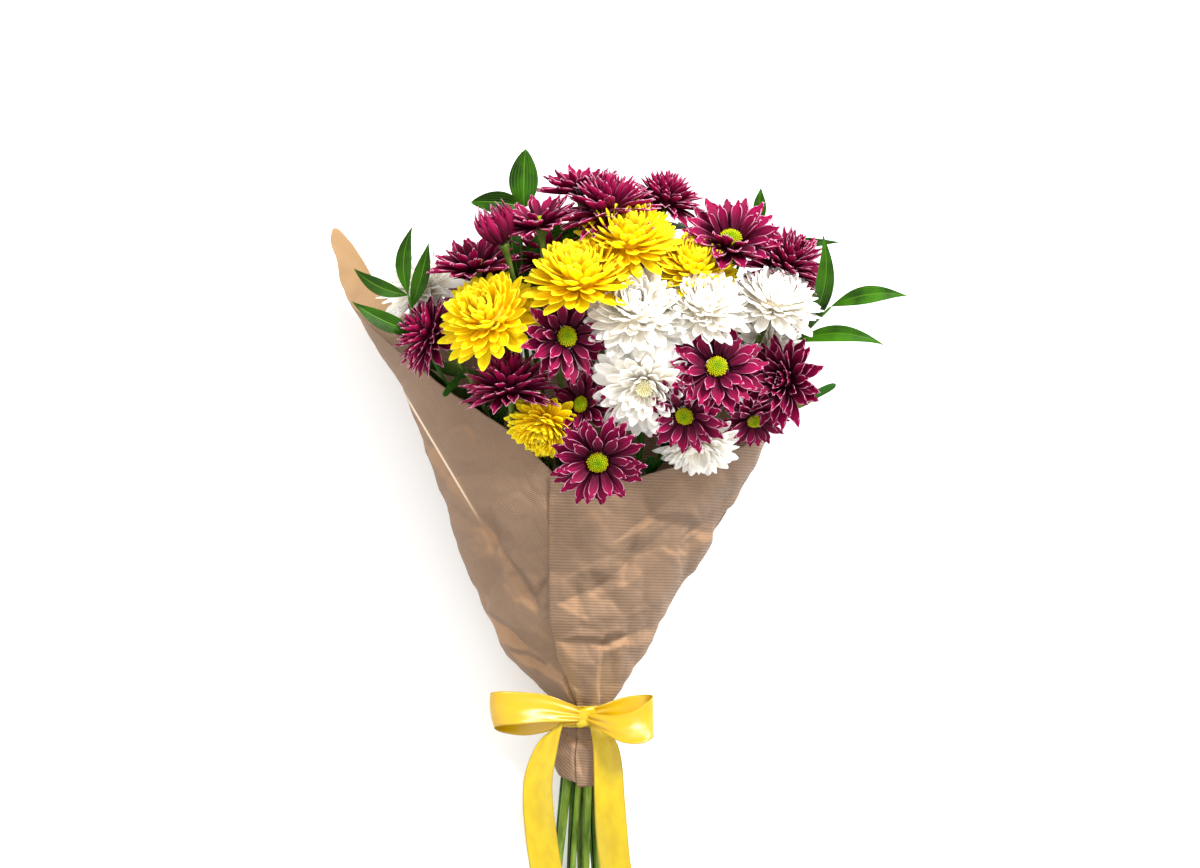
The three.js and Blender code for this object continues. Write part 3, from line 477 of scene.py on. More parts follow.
@dataclass(frozen=True)
class KraftFinish:
    """Brown wrapping paper with fine printed ribs."""

    slot: str = "paper"
    light: str = "#886e57"
    dark: str = "#765d49"
    fibre: str = "#8a6a4b"
    glow: str = "#97764d"  # where light comes through it
    painted_facet_highlight: str = "#a67b53"  # painted highlight on the facets that turn towards the light
    # how much the painted light and shade brighten and darken the facets
    painted_facet_shade_share: float = 0.24
    painted_fold_highlight: str = "#d8c3ac"  # painted highlight along the long fold's edge
    rib_pitch: float = 0.0021
    fold: tuple[Pair, Pair] = ((-0.139, 0.061), (-0.074, -0.047))  # the ends of the long fold that gets the painted highlight
    fold_half: float = 0.0007
    rib_wobble: float = 0.0012
    rib_roughness: Pair = (0.8, 0.62)  # in a rib's valley and on its crest
    relief: float = 0.0003

    def make(self) -> bpy.types.Material:
        """Make the material, whose sheet UV map is in metres along and across the ribs.

        The folds' facet attribute, from -1 to 1, is painted light and shade: lighter on facets that turn
        towards the light, darker on those that turn away.
        """
        shader = Shader("kraft_paper", 0.74, Specular_IOR_Level=0.35)
        run, height = shader.surface("sheet")
        wobble = shader.noise(shader.point(run, height), 30.0, 2.0)
        phase = shader.math("MULTIPLY_ADD", wobble, self.rib_wobble, height)
        ribs = shader.math("SINE", shader.math("MULTIPLY", phase, 2.0 * math.pi / self.rib_pitch))
        place = shader.position()
        pulp = shader.noise(place, 650.0, 4.0, 0.7)
        cloud = shader.noise(place, 14.0, 3.0)
        strength = shader.band(cloud, 0.3, 0.66, 0.2, 0.95)
        printed = shader.math("SUBTRACT", shader.band(ribs, -0.7, 0.9), 0.5)
        printed = shader.math("MULTIPLY_ADD", printed, strength, 0.5)
        base = shader.blend(printed, colour(self.dark), colour(self.light))
        drawn_out = shader.node("Mapping", {0: place, 3: (0.35, 1.0, 1.0)}).outputs[0]
        flecks = shader.noise(drawn_out, 1400.0, 2.0)
        base = shader.blend(shader.band(flecks, 0.62, 0.74, 0.0, 0.45), base, colour(self.fibre))
        base = shader.brighten(base, shader.band(cloud, 0.25, 0.75, 0.92, 1.06))
        base = shader.brighten(base, shader.band(pulp, 0.3, 0.7, 0.95, 1.04))
        # Painted light and shade on the folds' facets: a warm painted highlight and more brightness where
        # they turn towards the light, less where they turn away.
        painted_facet_shading = shader.node("Attribute", {}, attribute_name="painted_facet_shading").outputs["Fac"]
        base = shader.blend(shader.band(painted_facet_shading, 0.1, 0.8, 0.0, 0.28), base, colour(self.painted_facet_highlight))
        base = shader.brighten(base, shader.math("MULTIPLY_ADD", painted_facet_shading, self.painted_facet_shade_share, 1.0))
        base = shader.blend(shader.tone(), base, colour(self.glow))
        # Painted highlight: a thin pale line along the long fold's edge.
        base = shader.blend(self.fold_highlight_share(shader, place, flecks), base, colour(self.painted_fold_highlight))
        height_map = shader.math("MULTIPLY_ADD", ribs, 0.5, pulp)
        shader.bump(height_map, self.relief, 0.5)
        shader.set("Roughness", shader.band(ribs, -1.0, 1.0, *self.rib_roughness))
        return shader.paint(base)

    def fold_highlight_share(
        self, shader: Shader, place: bpy.types.NodeSocket, flecks: bpy.types.NodeSocket
    ) -> bpy.types.NodeSocket:
        """Find the thin painted highlight along the long fold's edge.

        Args:
            shader: The material.
            place: The place on the paper.
            flecks: The paper's fibres, which break the line up.

        Returns:
            The share of the painted highlight's colour.
        """
        (ax, ay), (bx, by) = self.fold
        length = math.hypot(bx - ax, by - ay)
        dx, dy = (bx - ax) / length, (by - ay) / length
        split = shader.node("SeparateXYZ", {0: place})
        east = shader.math("SUBTRACT", split.outputs[0], ax)
        north = shader.math("SUBTRACT", split.outputs[1], ay)
        run = shader.math("ADD", shader.math("MULTIPLY", east, dx), shader.math("MULTIPLY", north, dy))
        away = shader.math("SUBTRACT", shader.math("MULTIPLY", east, dy), shader.math("MULTIPLY", north, dx))
        away = shader.math("ABSOLUTE", away)
        line = shader.band(away, self.fold_half * 0.5, self.fold_half * 1.6, 1.0, 0.0)
        start = shader.band(run, 0.0, 0.02)
        end = shader.band(run, length - 0.04, length, 1.0, 0.0)
        front = shader.band(split.outputs[2], 0.055, 0.065)
        line = shader.math("MULTIPLY", line, start)
        line = shader.math("MULTIPLY", line, shader.math("MULTIPLY", end, front))
        return shader.math("MULTIPLY", line, shader.band(flecks, 0.25, 0.5, 0.55, 1.0))


@dataclass(frozen=True)
class SatinFinish:
    """Glossy yellow satin, with a fine weave across the ribbon and stitched edges."""

    slot: str = "ribbon"
    deep: str = "#b89a02"
    bright: str = "#c4aa04"
    edge: str = "#a88802"
    double: str = "#c08c00"  # painted shade: a deeper amber on the loops
    weft_pitch: float = 0.0006
    roughness: Pair = (0.27, 0.19)  # in the dull and in the bright drifts
    relief: float = 0.00016

    def make(self) -> bpy.types.Material:
        """Make the material, whose ribbon UV map is in metres along the run and a share across it."""
        shader = Shader(
            "yellow_satin", 0.25, Specular_IOR_Level=0.5, Anisotropic=0.4,
            Sheen_Weight=0.02, Sheen_Roughness=0.35,
        )
        across, run = shader.surface("ribbon")
        side = shader.off_centre(across)
        weft = shader.math("SINE", shader.math("MULTIPLY", run, 2.0 * math.pi / self.weft_pitch))
        drifting = shader.point(shader.math("MULTIPLY", across, 3.0), shader.math("MULTIPLY", run, 60.0))
        drift = shader.noise(drifting, 1.0)
        base = shader.blend(shader.band(drift, 0.25, 0.75), colour(self.deep), colour(self.bright))
        # Painted shade: the loops are painted a deeper amber than the tails, the turn and the knot.
        base = shader.blend(shader.tone(), base, colour(self.double))
        hem = shader.band(side, 0.9, 0.95)
        base = shader.blend(shader.math("MULTIPLY", hem, 0.7), base, colour(self.edge))
        shader.set("Roughness", shader.band(drift, 0.2, 0.8, *self.roughness))
        height = shader.math("MULTIPLY_ADD", hem, 1.5, shader.math("MULTIPLY", weft, 0.35))
        shader.bump(height, self.relief, 0.5)
        return shader.paint(base)


@dataclass(frozen=True)
class FloorFinish:
    """A plain pale studio floor."""

    tint: str = "#fafaf9"

    def make(self) -> bpy.types.Material:
        """Make the material."""
        shader = Shader("studio_floor", 0.9)
        patches = shader.noise(shader.position(), 3.0)
        return shader.paint(shader.brighten(colour(self.tint), shader.band(patches, 0.2, 0.8, 0.995, 1.005)))


# ---- The paper -----------------------------------------------------------------------------------------


@dataclass(frozen=True)
class Crease:
    """A fold across the paper, from one point to another as seen from the front."""

    start: Pair
    end: Pair
    depth: float
    reach_right: float  # how far it spreads to the right of its direction
    reach_left: float
    taper: float = 0.28  # the share of its length that it runs out over, past each end

    def press(self, x: float, y: float) -> float:
        """Tell how far the paper sinks at a point: four flat facets that meet along the fold."""
        (ax, ay), (bx, by) = self.start, self.end
        dx, dy = bx - ax, by - ay
        length = math.hypot(dx, dy)
        t = ((x - ax) * dx + (y - ay) * dy) / (length * length)
        away = ((x - ax) * dy - (y - ay) * dx) / length
        reach = self.reach_right if away > 0.0 else self.reach_left
        ends = clamp(min(t + self.taper, 1.0 + self.taper - t) / (2.0 * self.taper))
        return self.depth * max(0.0, ends - abs(away) / reach)


@dataclass
class PaperWrap:
    """One sheet of kraft paper, rolled round the stems and lapped under its own edge at the front.

    Angles go round the cone in degrees, from +X towards +Z.
    """

    # The cone's outline: the distance from the tie, and its left, right, back and front faces there.
    cone: Sequence[Sequence[float]] = (
        (-58, -21, 24, 20, 64), (-30, -24, 25, 25, 67), (-10, -18, 19, 29, 64), (0, -17, 17.5, 29.5, 63.5),
        (9, -18.5, 19.5, 28.4, 64.2), (20, -32, 29, 21, 72), (45, -58, 46, 9, 88), (80, -78, 66, 0, 107),
        (130, -96, 97, 0, 128), (190, -115, 132, 0, 148), (250, -140, 156, 0, 158), (316, -180, 176, 0, 164),
        (376, -201, 190, 0, 168),
    )
    # The rim's and the hem's distances from the tie, each by the angle round the cone.
    rim: Sequence[Pair] = (
        (106, 186), (76, 181), (54, 194), (20, 209), (0, 215), (-40, 232), (-90, 262), (-135, 290),
        (-146, 316), (-156, 362), (-162, 374), (-168, 368), (-180, 318), (-199, 292), (-221, 247),
        (-242, 216), (-254, 187), (-274, 150),
    )
    hem: Sequence[Pair] = ((106, -54), (0, -50), (-90, -40), (-180, -34), (-215, -46), (-274, -53))
    tie: Pair = (-9.0, 22.0)  # the stretch that the tie draws together
    tie_rows: Pair = (0.14, 0.26)  # the shares of the rows up to where that stretch starts and ends
    seam: float = 106.0  # where the outer layer's edge lies
    turn: float = 380.0  # how far the sheet goes round
    widest_at: float = 0.42  # the height of the widest place, as a share of the cone's depth
    back_bulge: float = 1.35  # how far the back would sag below the floor, which flattens it
    gathers: tuple[int, float, float] = (7, 1.7, 30.0)  # the tie's folds: their count, depth and reach
    lap: Pair = (1.6, 2.6)  # how far the lapped layer lies under the outer one, at the tie and at the rim
    thickness: float = 0.6
    crumple: float = 2.2
    deepest: float = 10.0  # what the creases level off at
    ridge_sharpness: float = 2.6
    # The painted light and shade on the creases' facets: the way across the paper that the light comes from,
    # the step that their slope is read over and how strongly it is painted.
    painted_light_from: Triple = (0.4, 0.92, 0.0)
    facet_step: float = 1.2
    facet_gain: float = 0.62
    panel_tilt: Pair = (2.0, 42.0)  # the ribs' slope at the right and at the left
    panel_edge: float = -130.0  # where one slope turns into the other
    columns: int = 280
    rows: int = 150
    creases: Sequence[Crease] = (
        Crease((-12, 90), (19, 103), 6.5, 24.0, 15.0),
        Crease((14, 101), (62, 140), 3.6, 13.0, 10.0),
        Crease((60, 150), (93, 142), 5.5, 24.0, 9.0),
        Crease((88, 142), (120, 158), 4.4, 18.0, 7.0),
        Crease((62, 162), (30, 138), 3.0, 18.0, 5.0),
        Crease((40, 138), (33, 108), 3.6, 9.0, 4.0),
        Crease((-13, 58), (18, 56), 4.2, 16.0, 5.0),
        Crease((15, 55), (33, 61), 5.2, 6.0, 7.0),
        Crease((30, 59), (60, 71), 4.2, 10.0, 15.0),
        Crease((17, 55), (14, 14), 4.2, 5.0, 13.0),
        Crease((-73, 76), (-52, 58), 5.0, 10.0, 5.0),
        Crease((-56, 62), (-13, 28), 5.2, 8.0, 14.0),
        Crease((-15, 29), (-7, 12), 3.2, 4.0, 4.0),
        Crease((-53, 49), (-33, 39), 4.6, 5.0, 4.0),
        Crease((-72, 154), (-71, 120), 3.0, 16.0, 8.0),
        Crease((-71, 122), (-78, 84), 3.4, 10.0, 12.0),
        Crease((-58, 117), (-38, 88), 4.2, 13.0, 6.0),
        Crease((-38, 88), (-30, 104), 3.2, 9.0, 5.0),
        Crease((-139, 251), (-72, 140), 3.4, 9.0, 24.0),
        Crease((-76, 146), (-42, 89), 2.8, 8.0, 15.0),
        Crease((-24, 181), (-22, 130), 2.6, 6.0, 18.0),
        Crease((119, 172), (85, 140), 4.4, 15.0, 6.0),
        Crease((86, 142), (82, 110), 3.6, 11.0, 5.0),
        Crease((82, 112), (64, 80), 3.4, 9.0, 6.0),
        Crease((30, 186), (-4, 150), 2.4, 20.0, 14.0),
        Crease((-98, 226), (-62, 200), 2.2, 18.0, 12.0),
        Crease((-17, -13), (0, -21), 3.4, 6.0, 5.0),
        Crease((3, -12), (16, -26), 3.0, 7.0, 5.0),
        Crease((-6, -24), (-1, -42), 2.6, 6.0, 8.0),
    )

    def on_cone(self, angle: float, y: float) -> Vector:
        """Find the point of the smooth cone at an angle from +X towards +Z and a distance from the tie."""
        left, right, back, front = (along(self.cone, y, column) for column in (1, 2, 3, 4))
        widest = mix(back, front, self.widest_at)
        count, depth, reach = self.gathers
        gather = depth * math.exp(-((y / reach) ** 2)) * math.sin(count * angle)
        rise = math.sin(angle)
        x = (left + right) / 2.0 + ((right - left) / 2.0 + gather) * math.cos(angle)
        if rise > 0.0:
            return Vector((x, y, widest + (front - widest + gather) * rise))
        return Vector((x, y, max(back, widest + self.back_bulge * (widest - back) * rise + gather * rise)))

    def row_place(self, turn: float, share: float) -> float:
        """Find a row's distance from the tie on its way from the hem to the rim."""
        low, high = self.tie
        first, last = self.tie_rows
        hem = sum(along(self.hem, turn + k) for k in (-6, 0, 6)) / 3.0
        rim = sum(along(self.rim, turn + k) for k in (-2.5, 0, 2.5)) / 3.0
        if share < first:
            return mix(hem, low, share / first)
        if share < last:
            return mix(low, high, (share - first) / (last - first))
        return mix(high, rim, (share - last) / (1.0 - last))

    def sink(self, p: Vector, turn: float) -> float:
        """Tell how far the creases and the crumple take a point of the paper inwards."""
        above_tie = smooth((p.y - 4.0) / 40.0) * smooth((p.z - 6.0) / 14.0)
        below_tie = smooth((-6.0 - p.y) / 14.0)
        fade = above_tie + 0.5 * below_tie
        soft = 0.5 + 0.5 * noise.noise(p * 0.021 + Vector((3.1, 0.0, turn * 0.004)))
        facets = Vector((p.x * 0.018 + p.y * 0.009, p.y * 0.016 - p.x * 0.006, turn * 0.012))
        broad, fine = (self.ridge(facets * scale) for scale in (1.2, 2.9))
        sunk = fade * self.crumple * (0.5 * soft + 0.9 * broad + 0.3 * fine - 0.4)
        if math.sin(math.radians(turn)) > -0.2:
            folded = sum(crease.press(p.x, p.y) for crease in self.creases)
            sunk += self.deepest * math.tanh(folded / self.deepest) * smooth((p.z - 14.0) / 20.0)
        return sunk

    def ridge(self, place: Vector) -> float:
        """Tell how near a place is to a straight fold of the crumpled paper, from 0 to 1."""
        nearest, second = noise.voronoi(place)[0][:2]
        return clamp(1.0 - (second - nearest) * self.ridge_sharpness)

    def painted_facet_shading(self, p: Vector, turn: float) -> float:
        """Paint light and shade by how the creases turn the paper at a point: 1 up and to the right, towards
        the light, painted lighter; -1 down and to the left, painted darker.
        """
        step = Vector(self.painted_light_from) * self.facet_step
        return clamp(self.facet_gain * (self.sink(p + step, turn) - self.sink(p - step, turn)), -1.0, 1.0)

    def build(self, finish: bpy.types.Material) -> bpy.types.Object:
        """Build the sheet.

        Args:
            finish: The paper's material.

        Returns:
            The paper.
        """
        mesh = bmesh.new()
        sheet = mesh.loops.layers.uv.new("sheet")
        tone = mesh.verts.layers.float.new("tone")
        painted_facet_shading = mesh.verts.layers.float.new("painted_facet_shading")
        vertices = grid(mesh, self.columns, self.rows)
        spread: dict[bmesh.types.BMVert, Pair] = {}
        for vertex in vertices:
            share, height = (vertex.co.x + 1.0) / 2.0, (vertex.co.y + 1.0) / 2.0
            turn = self.seam - self.turn * share
            angle = math.radians(turn)
            y = self.row_place(turn, height)
            p = self.on_cone(angle, y)
            inward = Vector((-math.cos(angle), 0.0, -math.sin(angle)))
            under = smooth((self.seam - self.turn + 64.0 - turn) / 30.0)
            lap = under * mix(*self.lap, clamp(y / 90.0))
            arc = math.radians(self.panel_edge - turn) * mix(20.0, 150.0, clamp(y / 300.0))
            vertex.co = p + inward * (lap + self.sink(p, turn))
            vertex[tone] = self.glow(turn, y)
            # painted light and shade, by how the creases turn the paper towards the light
            vertex[painted_facet_shading] = self.painted_facet_shading(p, turn)
            tilt = math.radians(mix(*self.panel_tilt, smooth((self.panel_edge + 20.0 - turn) / 40.0)))
            spread[vertex] = (
                (arc * math.cos(tilt) - y * math.sin(tilt)) * 0.001,
                (y * math.cos(tilt) + arc * math.sin(tilt)) * 0.001,
            )
        for face in mesh.faces:
            for loop in face.loops:
                loop[sheet].uv = spread[loop.vert]
        bmesh.ops.reverse_faces(mesh, faces=self.inside_out(mesh))
        piece = finish_piece("kraft_sheet", mesh, finish, KraftFinish.slot, ["paper_wrap"])
        thicken(piece, self.thickness * 0.001, -1.0)
        return piece

    def glow(self, turn: float, y: float) -> float:
        """Tell how much light comes through the paper: at its high flap and in its folds near the tie."""
        flap = smooth((y - 270.0) / 70.0) * smooth((40.0 - abs(turn + 160.0)) / 25.0)
        folds = 0.5 + 0.5 * noise.noise(Vector((turn * 0.045, y * 0.02, 4.0)))
        neck = smooth((70.0 - abs(y - 8.0)) / 60.0) * smooth((folds - 0.35) / 0.4)
        return clamp(0.85 * flap + 0.55 * neck)

    def inside_out(self, mesh: bmesh.types.BMesh) -> list[bmesh.types.BMFace]:
        """List the faces if they look into the cone."""
        mesh.normal_update()
        face = max(mesh.faces, key=lambda f: f.calc_center_median().z)
        return list(mesh.faces) if face.normal.z < 0.0 else []


# ---- The ribbon ----------------------------------------------------------------------------------------


@dataclass
class SatinRibbon:
    """A satin ribbon: its turn round the tie, a knot, two loops and two tails."""

    paper: PaperWrap
    thickness: float = 0.45
    width: float = 25.0
    length: float = 1100.0  # of the whole ribbon, with what the knot takes in
    loop_shade: float = 0.55  # how much of the painted shade the loops get
    band_half: float = 8.0
    band_reach: float = 9.0  # how far from the tie the paper under it is still drawn together
    band_gap: float = 1.9
    band_slant: float = 0.8
    band_girth: float = math.tau * 24.0
    knot_centre: Triple = (2.0, 0.0, 70.2)
    knot_size: Triple = (8.2, 7.4, 4.6)
    knot_girth: float = 45.0
    run_faces: tuple[int, int] = (14, 110)
    band_faces: tuple[int, int] = (8, 96)
    knot_faces: tuple[int, int] = (14, 40)
    knot_reach: float = 0.1  # the share of a run that the knot's pleats die out over
    # The points of each loop and tail, with the ribbon's width and the direction of its width there.
    loops: Sequence[Sequence[Sequence[float]]] = (
        (
            (2, 1, 71.5, 8, 0, 1, 0), (-13, 4, 78, 15, 0.15, 1, -0.2), (-29, 7, 84, 22, 0.1, 1, -0.35),
            (-48, 7.5, 89, 25, 0, 1, -0.3), (-63, 7, 88, 26, -0.06, 1, -0.15),
            (-68.5, 5, 80, 26, -0.08, 1, -0.15), (-61, 1, 73, 26, -0.06, 1, -0.2),
            (-44, -2, 72, 24, 0.02, 1, -0.1), (-28, -2, 73.5, 19, 0.1, 1, 0), (-14, -1, 74, 12, 0.1, 1, 0),
            (2, 0, 68, 8, 0, 1, 0),
        ),
        (
            (2, 0, 71.5, 8, 0, 1, 0), (13, -4, 81, 14, -0.3, 1, -0.2), (26, -8, 89, 23, -0.35, 1, -0.35),
            (40, -7, 91, 27, -0.3, 1, -0.35), (50, -2, 87, 28, -0.16, 1, -0.2),
            (53, 2, 80, 29, -0.1, 1, -0.1), (47, 4, 73, 27, -0.15, 1, -0.25),
            (34, 4, 72, 23, -0.25, 1, -0.15), (20, 3, 74, 16, -0.3, 1, 0), (10, 2, 72, 11, -0.2, 1, 0),
            (2, 0, 68, 8, 0, 1, 0),
        ),
    )
    tails: Sequence[Sequence[Sequence[float]]] = (
        (
            (-1, 1, 69, 8, 0.1, 1, 0.1), (-12, -2, 73, 12, 0.5, 0.9, 0.1), (-23, -11, 75, 17, 0.9, 0.5, 0.2),
            (-29.5, -27, 74, 20, 1, 0.15, 0.3), (-34, -46, 72, 22, 1, 0.05, 0.25),
            (-34.5, -64, 69, 23, 1, 0, 0.1), (-32.5, -86, 63, 24, 1, 0, 0),
            (-29, -112, 56, 24, 1, 0.12, -0.1), (-22, -145, 47, 25, 1, 0.1, 0),
            (-17, -178, 35, 25, 1, 0.05, 0.05), (-14, -203, 12, 25, 1, 0, 0), (-13, -219, 1.6, 25, 1, 0, 0),
        ),
        (
            (5, 0, 69, 8, 0.9, -0.5, 0), (12, -9, 72, 14, 1, -0.2, 0.1), (17, -22, 73, 19, 1, 0, 0.2),
            (19, -40, 73, 22, 1, 0.05, 0.1), (20, -62, 70, 23, 1, 0.05, -0.1),
            (21.5, -86, 63, 24, 1, 0.08, 0), (24, -112, 54, 24, 1, 0.1, 0.1), (29, -148, 43, 25, 1, 0.1, 0),
            (34, -182, 27, 25, 1, 0.05, 0), (36, -198, 9, 25, 1, 0, 0), (37, -212, 1.6, 25, 1, 0, 0),
        ),
    )

    def strip(
        self, mesh: bmesh.types.BMesh, shape: Callable[[float, float], Vector], segments: tuple[int, int],
        length: float, tone: float = 0.0,
    ) -> None:
        """Add a strip of ribbon.

        Args:
            mesh: The mesh that it joins.
            shape: Gives a point from the share across, from -1 to 1, and the share along.
            segments: Its faces across and along.
            length: Its length, for the weave.
            tone: How much painted shade it gets.
        """
        layer = mesh.loops.layers.uv["ribbon"]
        depth = mesh.verts.layers.float["tone"]
        vertices = grid(mesh, *segments)
        faces = {face for vertex in vertices for face in vertex.link_faces}
        for face in faces:
            for loop in face.loops:
                place = loop.vert.co
                loop[layer].uv = ((place.x + 1.0) / 2.0, (place.y + 1.0) / 2.0 * length * 0.001)
        for vertex in vertices:
            vertex.co = shape(vertex.co.x, (vertex.co.y + 1.0) / 2.0)
            vertex[depth] = tone

    def run(
        self, mesh: bmesh.types.BMesh, stations: Sequence[Sequence[float]], phase: float, loop: bool
    ) -> None:
        """Add a loop or a tail, pleated where the knot gathers it.

        Args:
            mesh: The mesh that it joins.
            stations: Its points, each with the ribbon's width and the direction of its width.
            phase: Where its soft waves start.
            loop: Whether both its ends go into the knot.
        """
        path = [Vector(row[:3]) for row in stations]
        sides = [Vector(row[4:7]).normalized() * row[3] / 2.0 for row in stations]

        def shape(across: float, t: float) -> Vector:
            """Give a point of the run."""
            centre, side = spline(path, t), spline(sides, t)
            tangent = heading(path, t)
            normal = tangent.cross(side).normalized()
            far_end = math.exp(-(1.0 - t) / self.knot_reach) if loop else 0.0
            knotted = max(math.exp(-t / self.knot_reach), far_end)
            pleat = 1.5 * knotted * math.cos(2.5 * math.pi * across + phase)
            crown = 1.7 * (1.0 - across * across) * math.sin(2.6 * math.pi * t + phase)
            flutter = 1.1 * across * math.sin(11.0 * t + phase) * (1.0 - knotted)
            settled = clamp((centre.z - 1.2) / 12.0)
            return centre + side * across + normal * (pleat + settled * (crown + flutter))

        length = sum((b - a).length for a, b in zip(path, path[1:]))
        self.strip(mesh, shape, self.run_faces, length, self.loop_shade if loop else 0.0)

    def band(self, mesh: bmesh.types.BMesh) -> None:
        """Add the turn round the tie, a little aslant."""

        def shape(across: float, t: float) -> Vector:
            """Give a point of the turn."""
            angle = -math.tau * t
            y = across * self.band_half + self.band_slant * math.cos(angle)
            outward = Vector((math.cos(angle), 0.0, math.sin(angle)))
            pleat = 0.35 * math.cos(3.0 * math.pi * across + 1.3 * math.sin(angle))
            drawn = clamp(y, -self.band_reach, self.band_reach)
            return self.paper.on_cone(angle, drawn) + outward * (self.band_gap + pleat)

        self.strip(mesh, shape, self.band_faces, self.band_girth)

    def knot(self, mesh: bmesh.types.BMesh) -> None:
        """Add the knot: a short pleated turn of ribbon over the loops' ends."""
        centre = Vector(self.knot_centre)
        wide, high, deep = self.knot_size

        def shape(across: float, t: float) -> Vector:
            """Give a point of the knot."""
            angle = math.tau * t
            barrel = 1.0 - 0.3 * across * across
            pleat = 1.0 + 0.07 * math.cos(3.0 * math.pi * across)
            skew = 1.2 * across * math.sin(angle)
            return centre + Vector((
                wide * math.cos(angle) * barrel * pleat + skew,
                high * across + 0.8 * math.sin(2.0 * angle),
                deep * math.sin(angle) * barrel * pleat,
            ))

        self.strip(mesh, shape, self.knot_faces, self.knot_girth)

    def build(self, finish: bpy.types.Material) -> bpy.types.Object:
        """Build the whole ribbon as one piece."""
        mesh = bmesh.new()
        mesh.loops.layers.uv.new("ribbon")
        mesh.verts.layers.float.new("tone")
        self.band(mesh)
        self.knot(mesh)
        for phase, stations in zip((0.4, 2.2), self.loops):
            self.run(mesh, stations, phase, True)
        for phase, stations in zip((1.1, 3.0), self.tails):
            self.run(mesh, stations, phase, False)
        bmesh.ops.remove_doubles(mesh, verts=mesh.verts, dist=0.02)
        piece = finish_piece("ribbon_bow", mesh, finish, SatinFinish.slot, ["satin_ribbon"])
        thicken(piece, self.thickness * 0.001)
        return piece


# ---- The flowers ---------------------------------------------------------------------------------------


@dataclass(frozen=True)
class Petal:
    """A petal's outline and its cross-section."""

    length: float
    width: float
    foot: float = 0.42  # the share of its width at its foot
    tip: float = 0.5  # the share of its width left at its tip
    point: float = 0.2  # how far its edges stop short of its tip, as a share of its length
    cup: float = 0.3  # how far its edges rise, as a share of its half width
    groove: float = 0.07  # how deep its two channels are, as a share of its width
    widest: float = 0.62
    faces: tuple[int, int] = (5, 8)

    def half_width(self, s: float) -> float:
        """Give half the petal's width at a share of its length."""
        if s < self.widest:
            share = mix(self.foot, 1.0, math.sin(0.5 * math.pi * s / self.widest))
        else:
            share = mix(1.0, self.tip, ((s - self.widest) / (1.0 - self.widest)) ** 2.2)
        return share * self.width / 2.0


@dataclass(frozen=True)
class Whorl:
    """A ring of petals on a flower: how many, how they stand and what they look like."""

    count: int
    radius: float
    height: float
    lift: float
    curl: float
    petal: Petal
    stray: float = 5.0


LOWEST_WHORL = -1.2  # where the outermost petals of a crowded flower start, from its middle


def rising_whorls(
    counts: Sequence[int], lifts: Pair, curls: Pair, lengths: Pair, widths: Pair, radii: Pair, dome: float,
    cups: Pair, form: Petal, stray: float,
) -> tuple[Whorl, ...]:
    """Give the close rings of a flower whose petals rise more and more towards its middle.

    Args:
        counts: The petals of each ring, from the outside in.
        lifts: The outermost and the innermost petals' lift.
        curls: How much more they lift at their tips.
        lengths: Their lengths.
        widths: Their widths.
        radii: How far from the middle the outermost and the innermost petals start.
        dome: How much higher the innermost petals start.
        cups: How far their edges rise.
        form: The rest of their shape.
        stray: How far their lifts vary.

    Returns:
        The rings.
    """
    rings = []
    for i, count in enumerate(counts):
        t = i / (len(counts) - 1)
        petal = replace(form, length=mix(*lengths, t ** 1.3), width=mix(*widths, t), cup=mix(*cups, t))
        height = LOWEST_WHORL + dome * t ** 0.8
        lift = mix(*lifts, t ** 0.92)
        rings.append(Whorl(count, mix(*radii, t), height, lift, mix(*curls, t), petal, stray))
    return tuple(rings)


ROUND_PETAL = Petal(28.0, 8.0, foot=0.4, tip=0.62, point=0.1, groove=0.04, widest=0.72, faces=(4, 8))
NARROW_PETAL = Petal(28.0, 7.0, foot=0.46, tip=0.4, point=0.2, groove=0.06, widest=0.6, faces=(4, 8))

FULL = rising_whorls(
    (17, 18, 18, 17, 17, 16, 14, 12, 9, 6), lifts=(-12.0, 80.0), curls=(22.0, 60.0), lengths=(28.5, 15.5),
    widths=(8.8, 6.4), radii=(9.6, 1.0), dome=9.2, cups=(0.18, 0.5), form=ROUND_PETAL, stray=8.0,
)
DOUBLE = rising_whorls(
    (15, 16, 15, 14, 13, 11, 8, 6), lifts=(-14.0, 84.0), curls=(2.0, 18.0), lengths=(29.0, 25.5),
    widths=(8.2, 5.6), radii=(9.0, 1.0), dome=7.0, cups=(0.42, 0.62), form=NARROW_PETAL, stray=9.0,
)
OPEN = rising_whorls(
    (15, 16, 16, 14, 13, 11), lifts=(-8.0, 60.0), curls=(10.0, 26.0), lengths=(28.0, 15.0),
    widths=(9.2, 6.0), radii=(9.0, 5.4), dome=2.6, cups=(0.2, 0.42), form=ROUND_PETAL, stray=8.0,
)
BROAD_PETAL = Petal(27.5, 9.6, cup=0.26, tip=0.46, point=0.19, faces=(6, 8))
DAISY = (
    Whorl(13, 8.6, -0.8, 0.0, 4.0, BROAD_PETAL, 6.0),
    Whorl(12, 8.4, 0.6, 13.0, 6.0, replace(BROAD_PETAL, length=26.0, width=9.0, cup=0.3), 6.0),
    Whorl(9, 8.2, 1.8, 30.0, 10.0, replace(BROAD_PETAL, length=20.0, width=7.2, cup=0.45), 10.0),
)
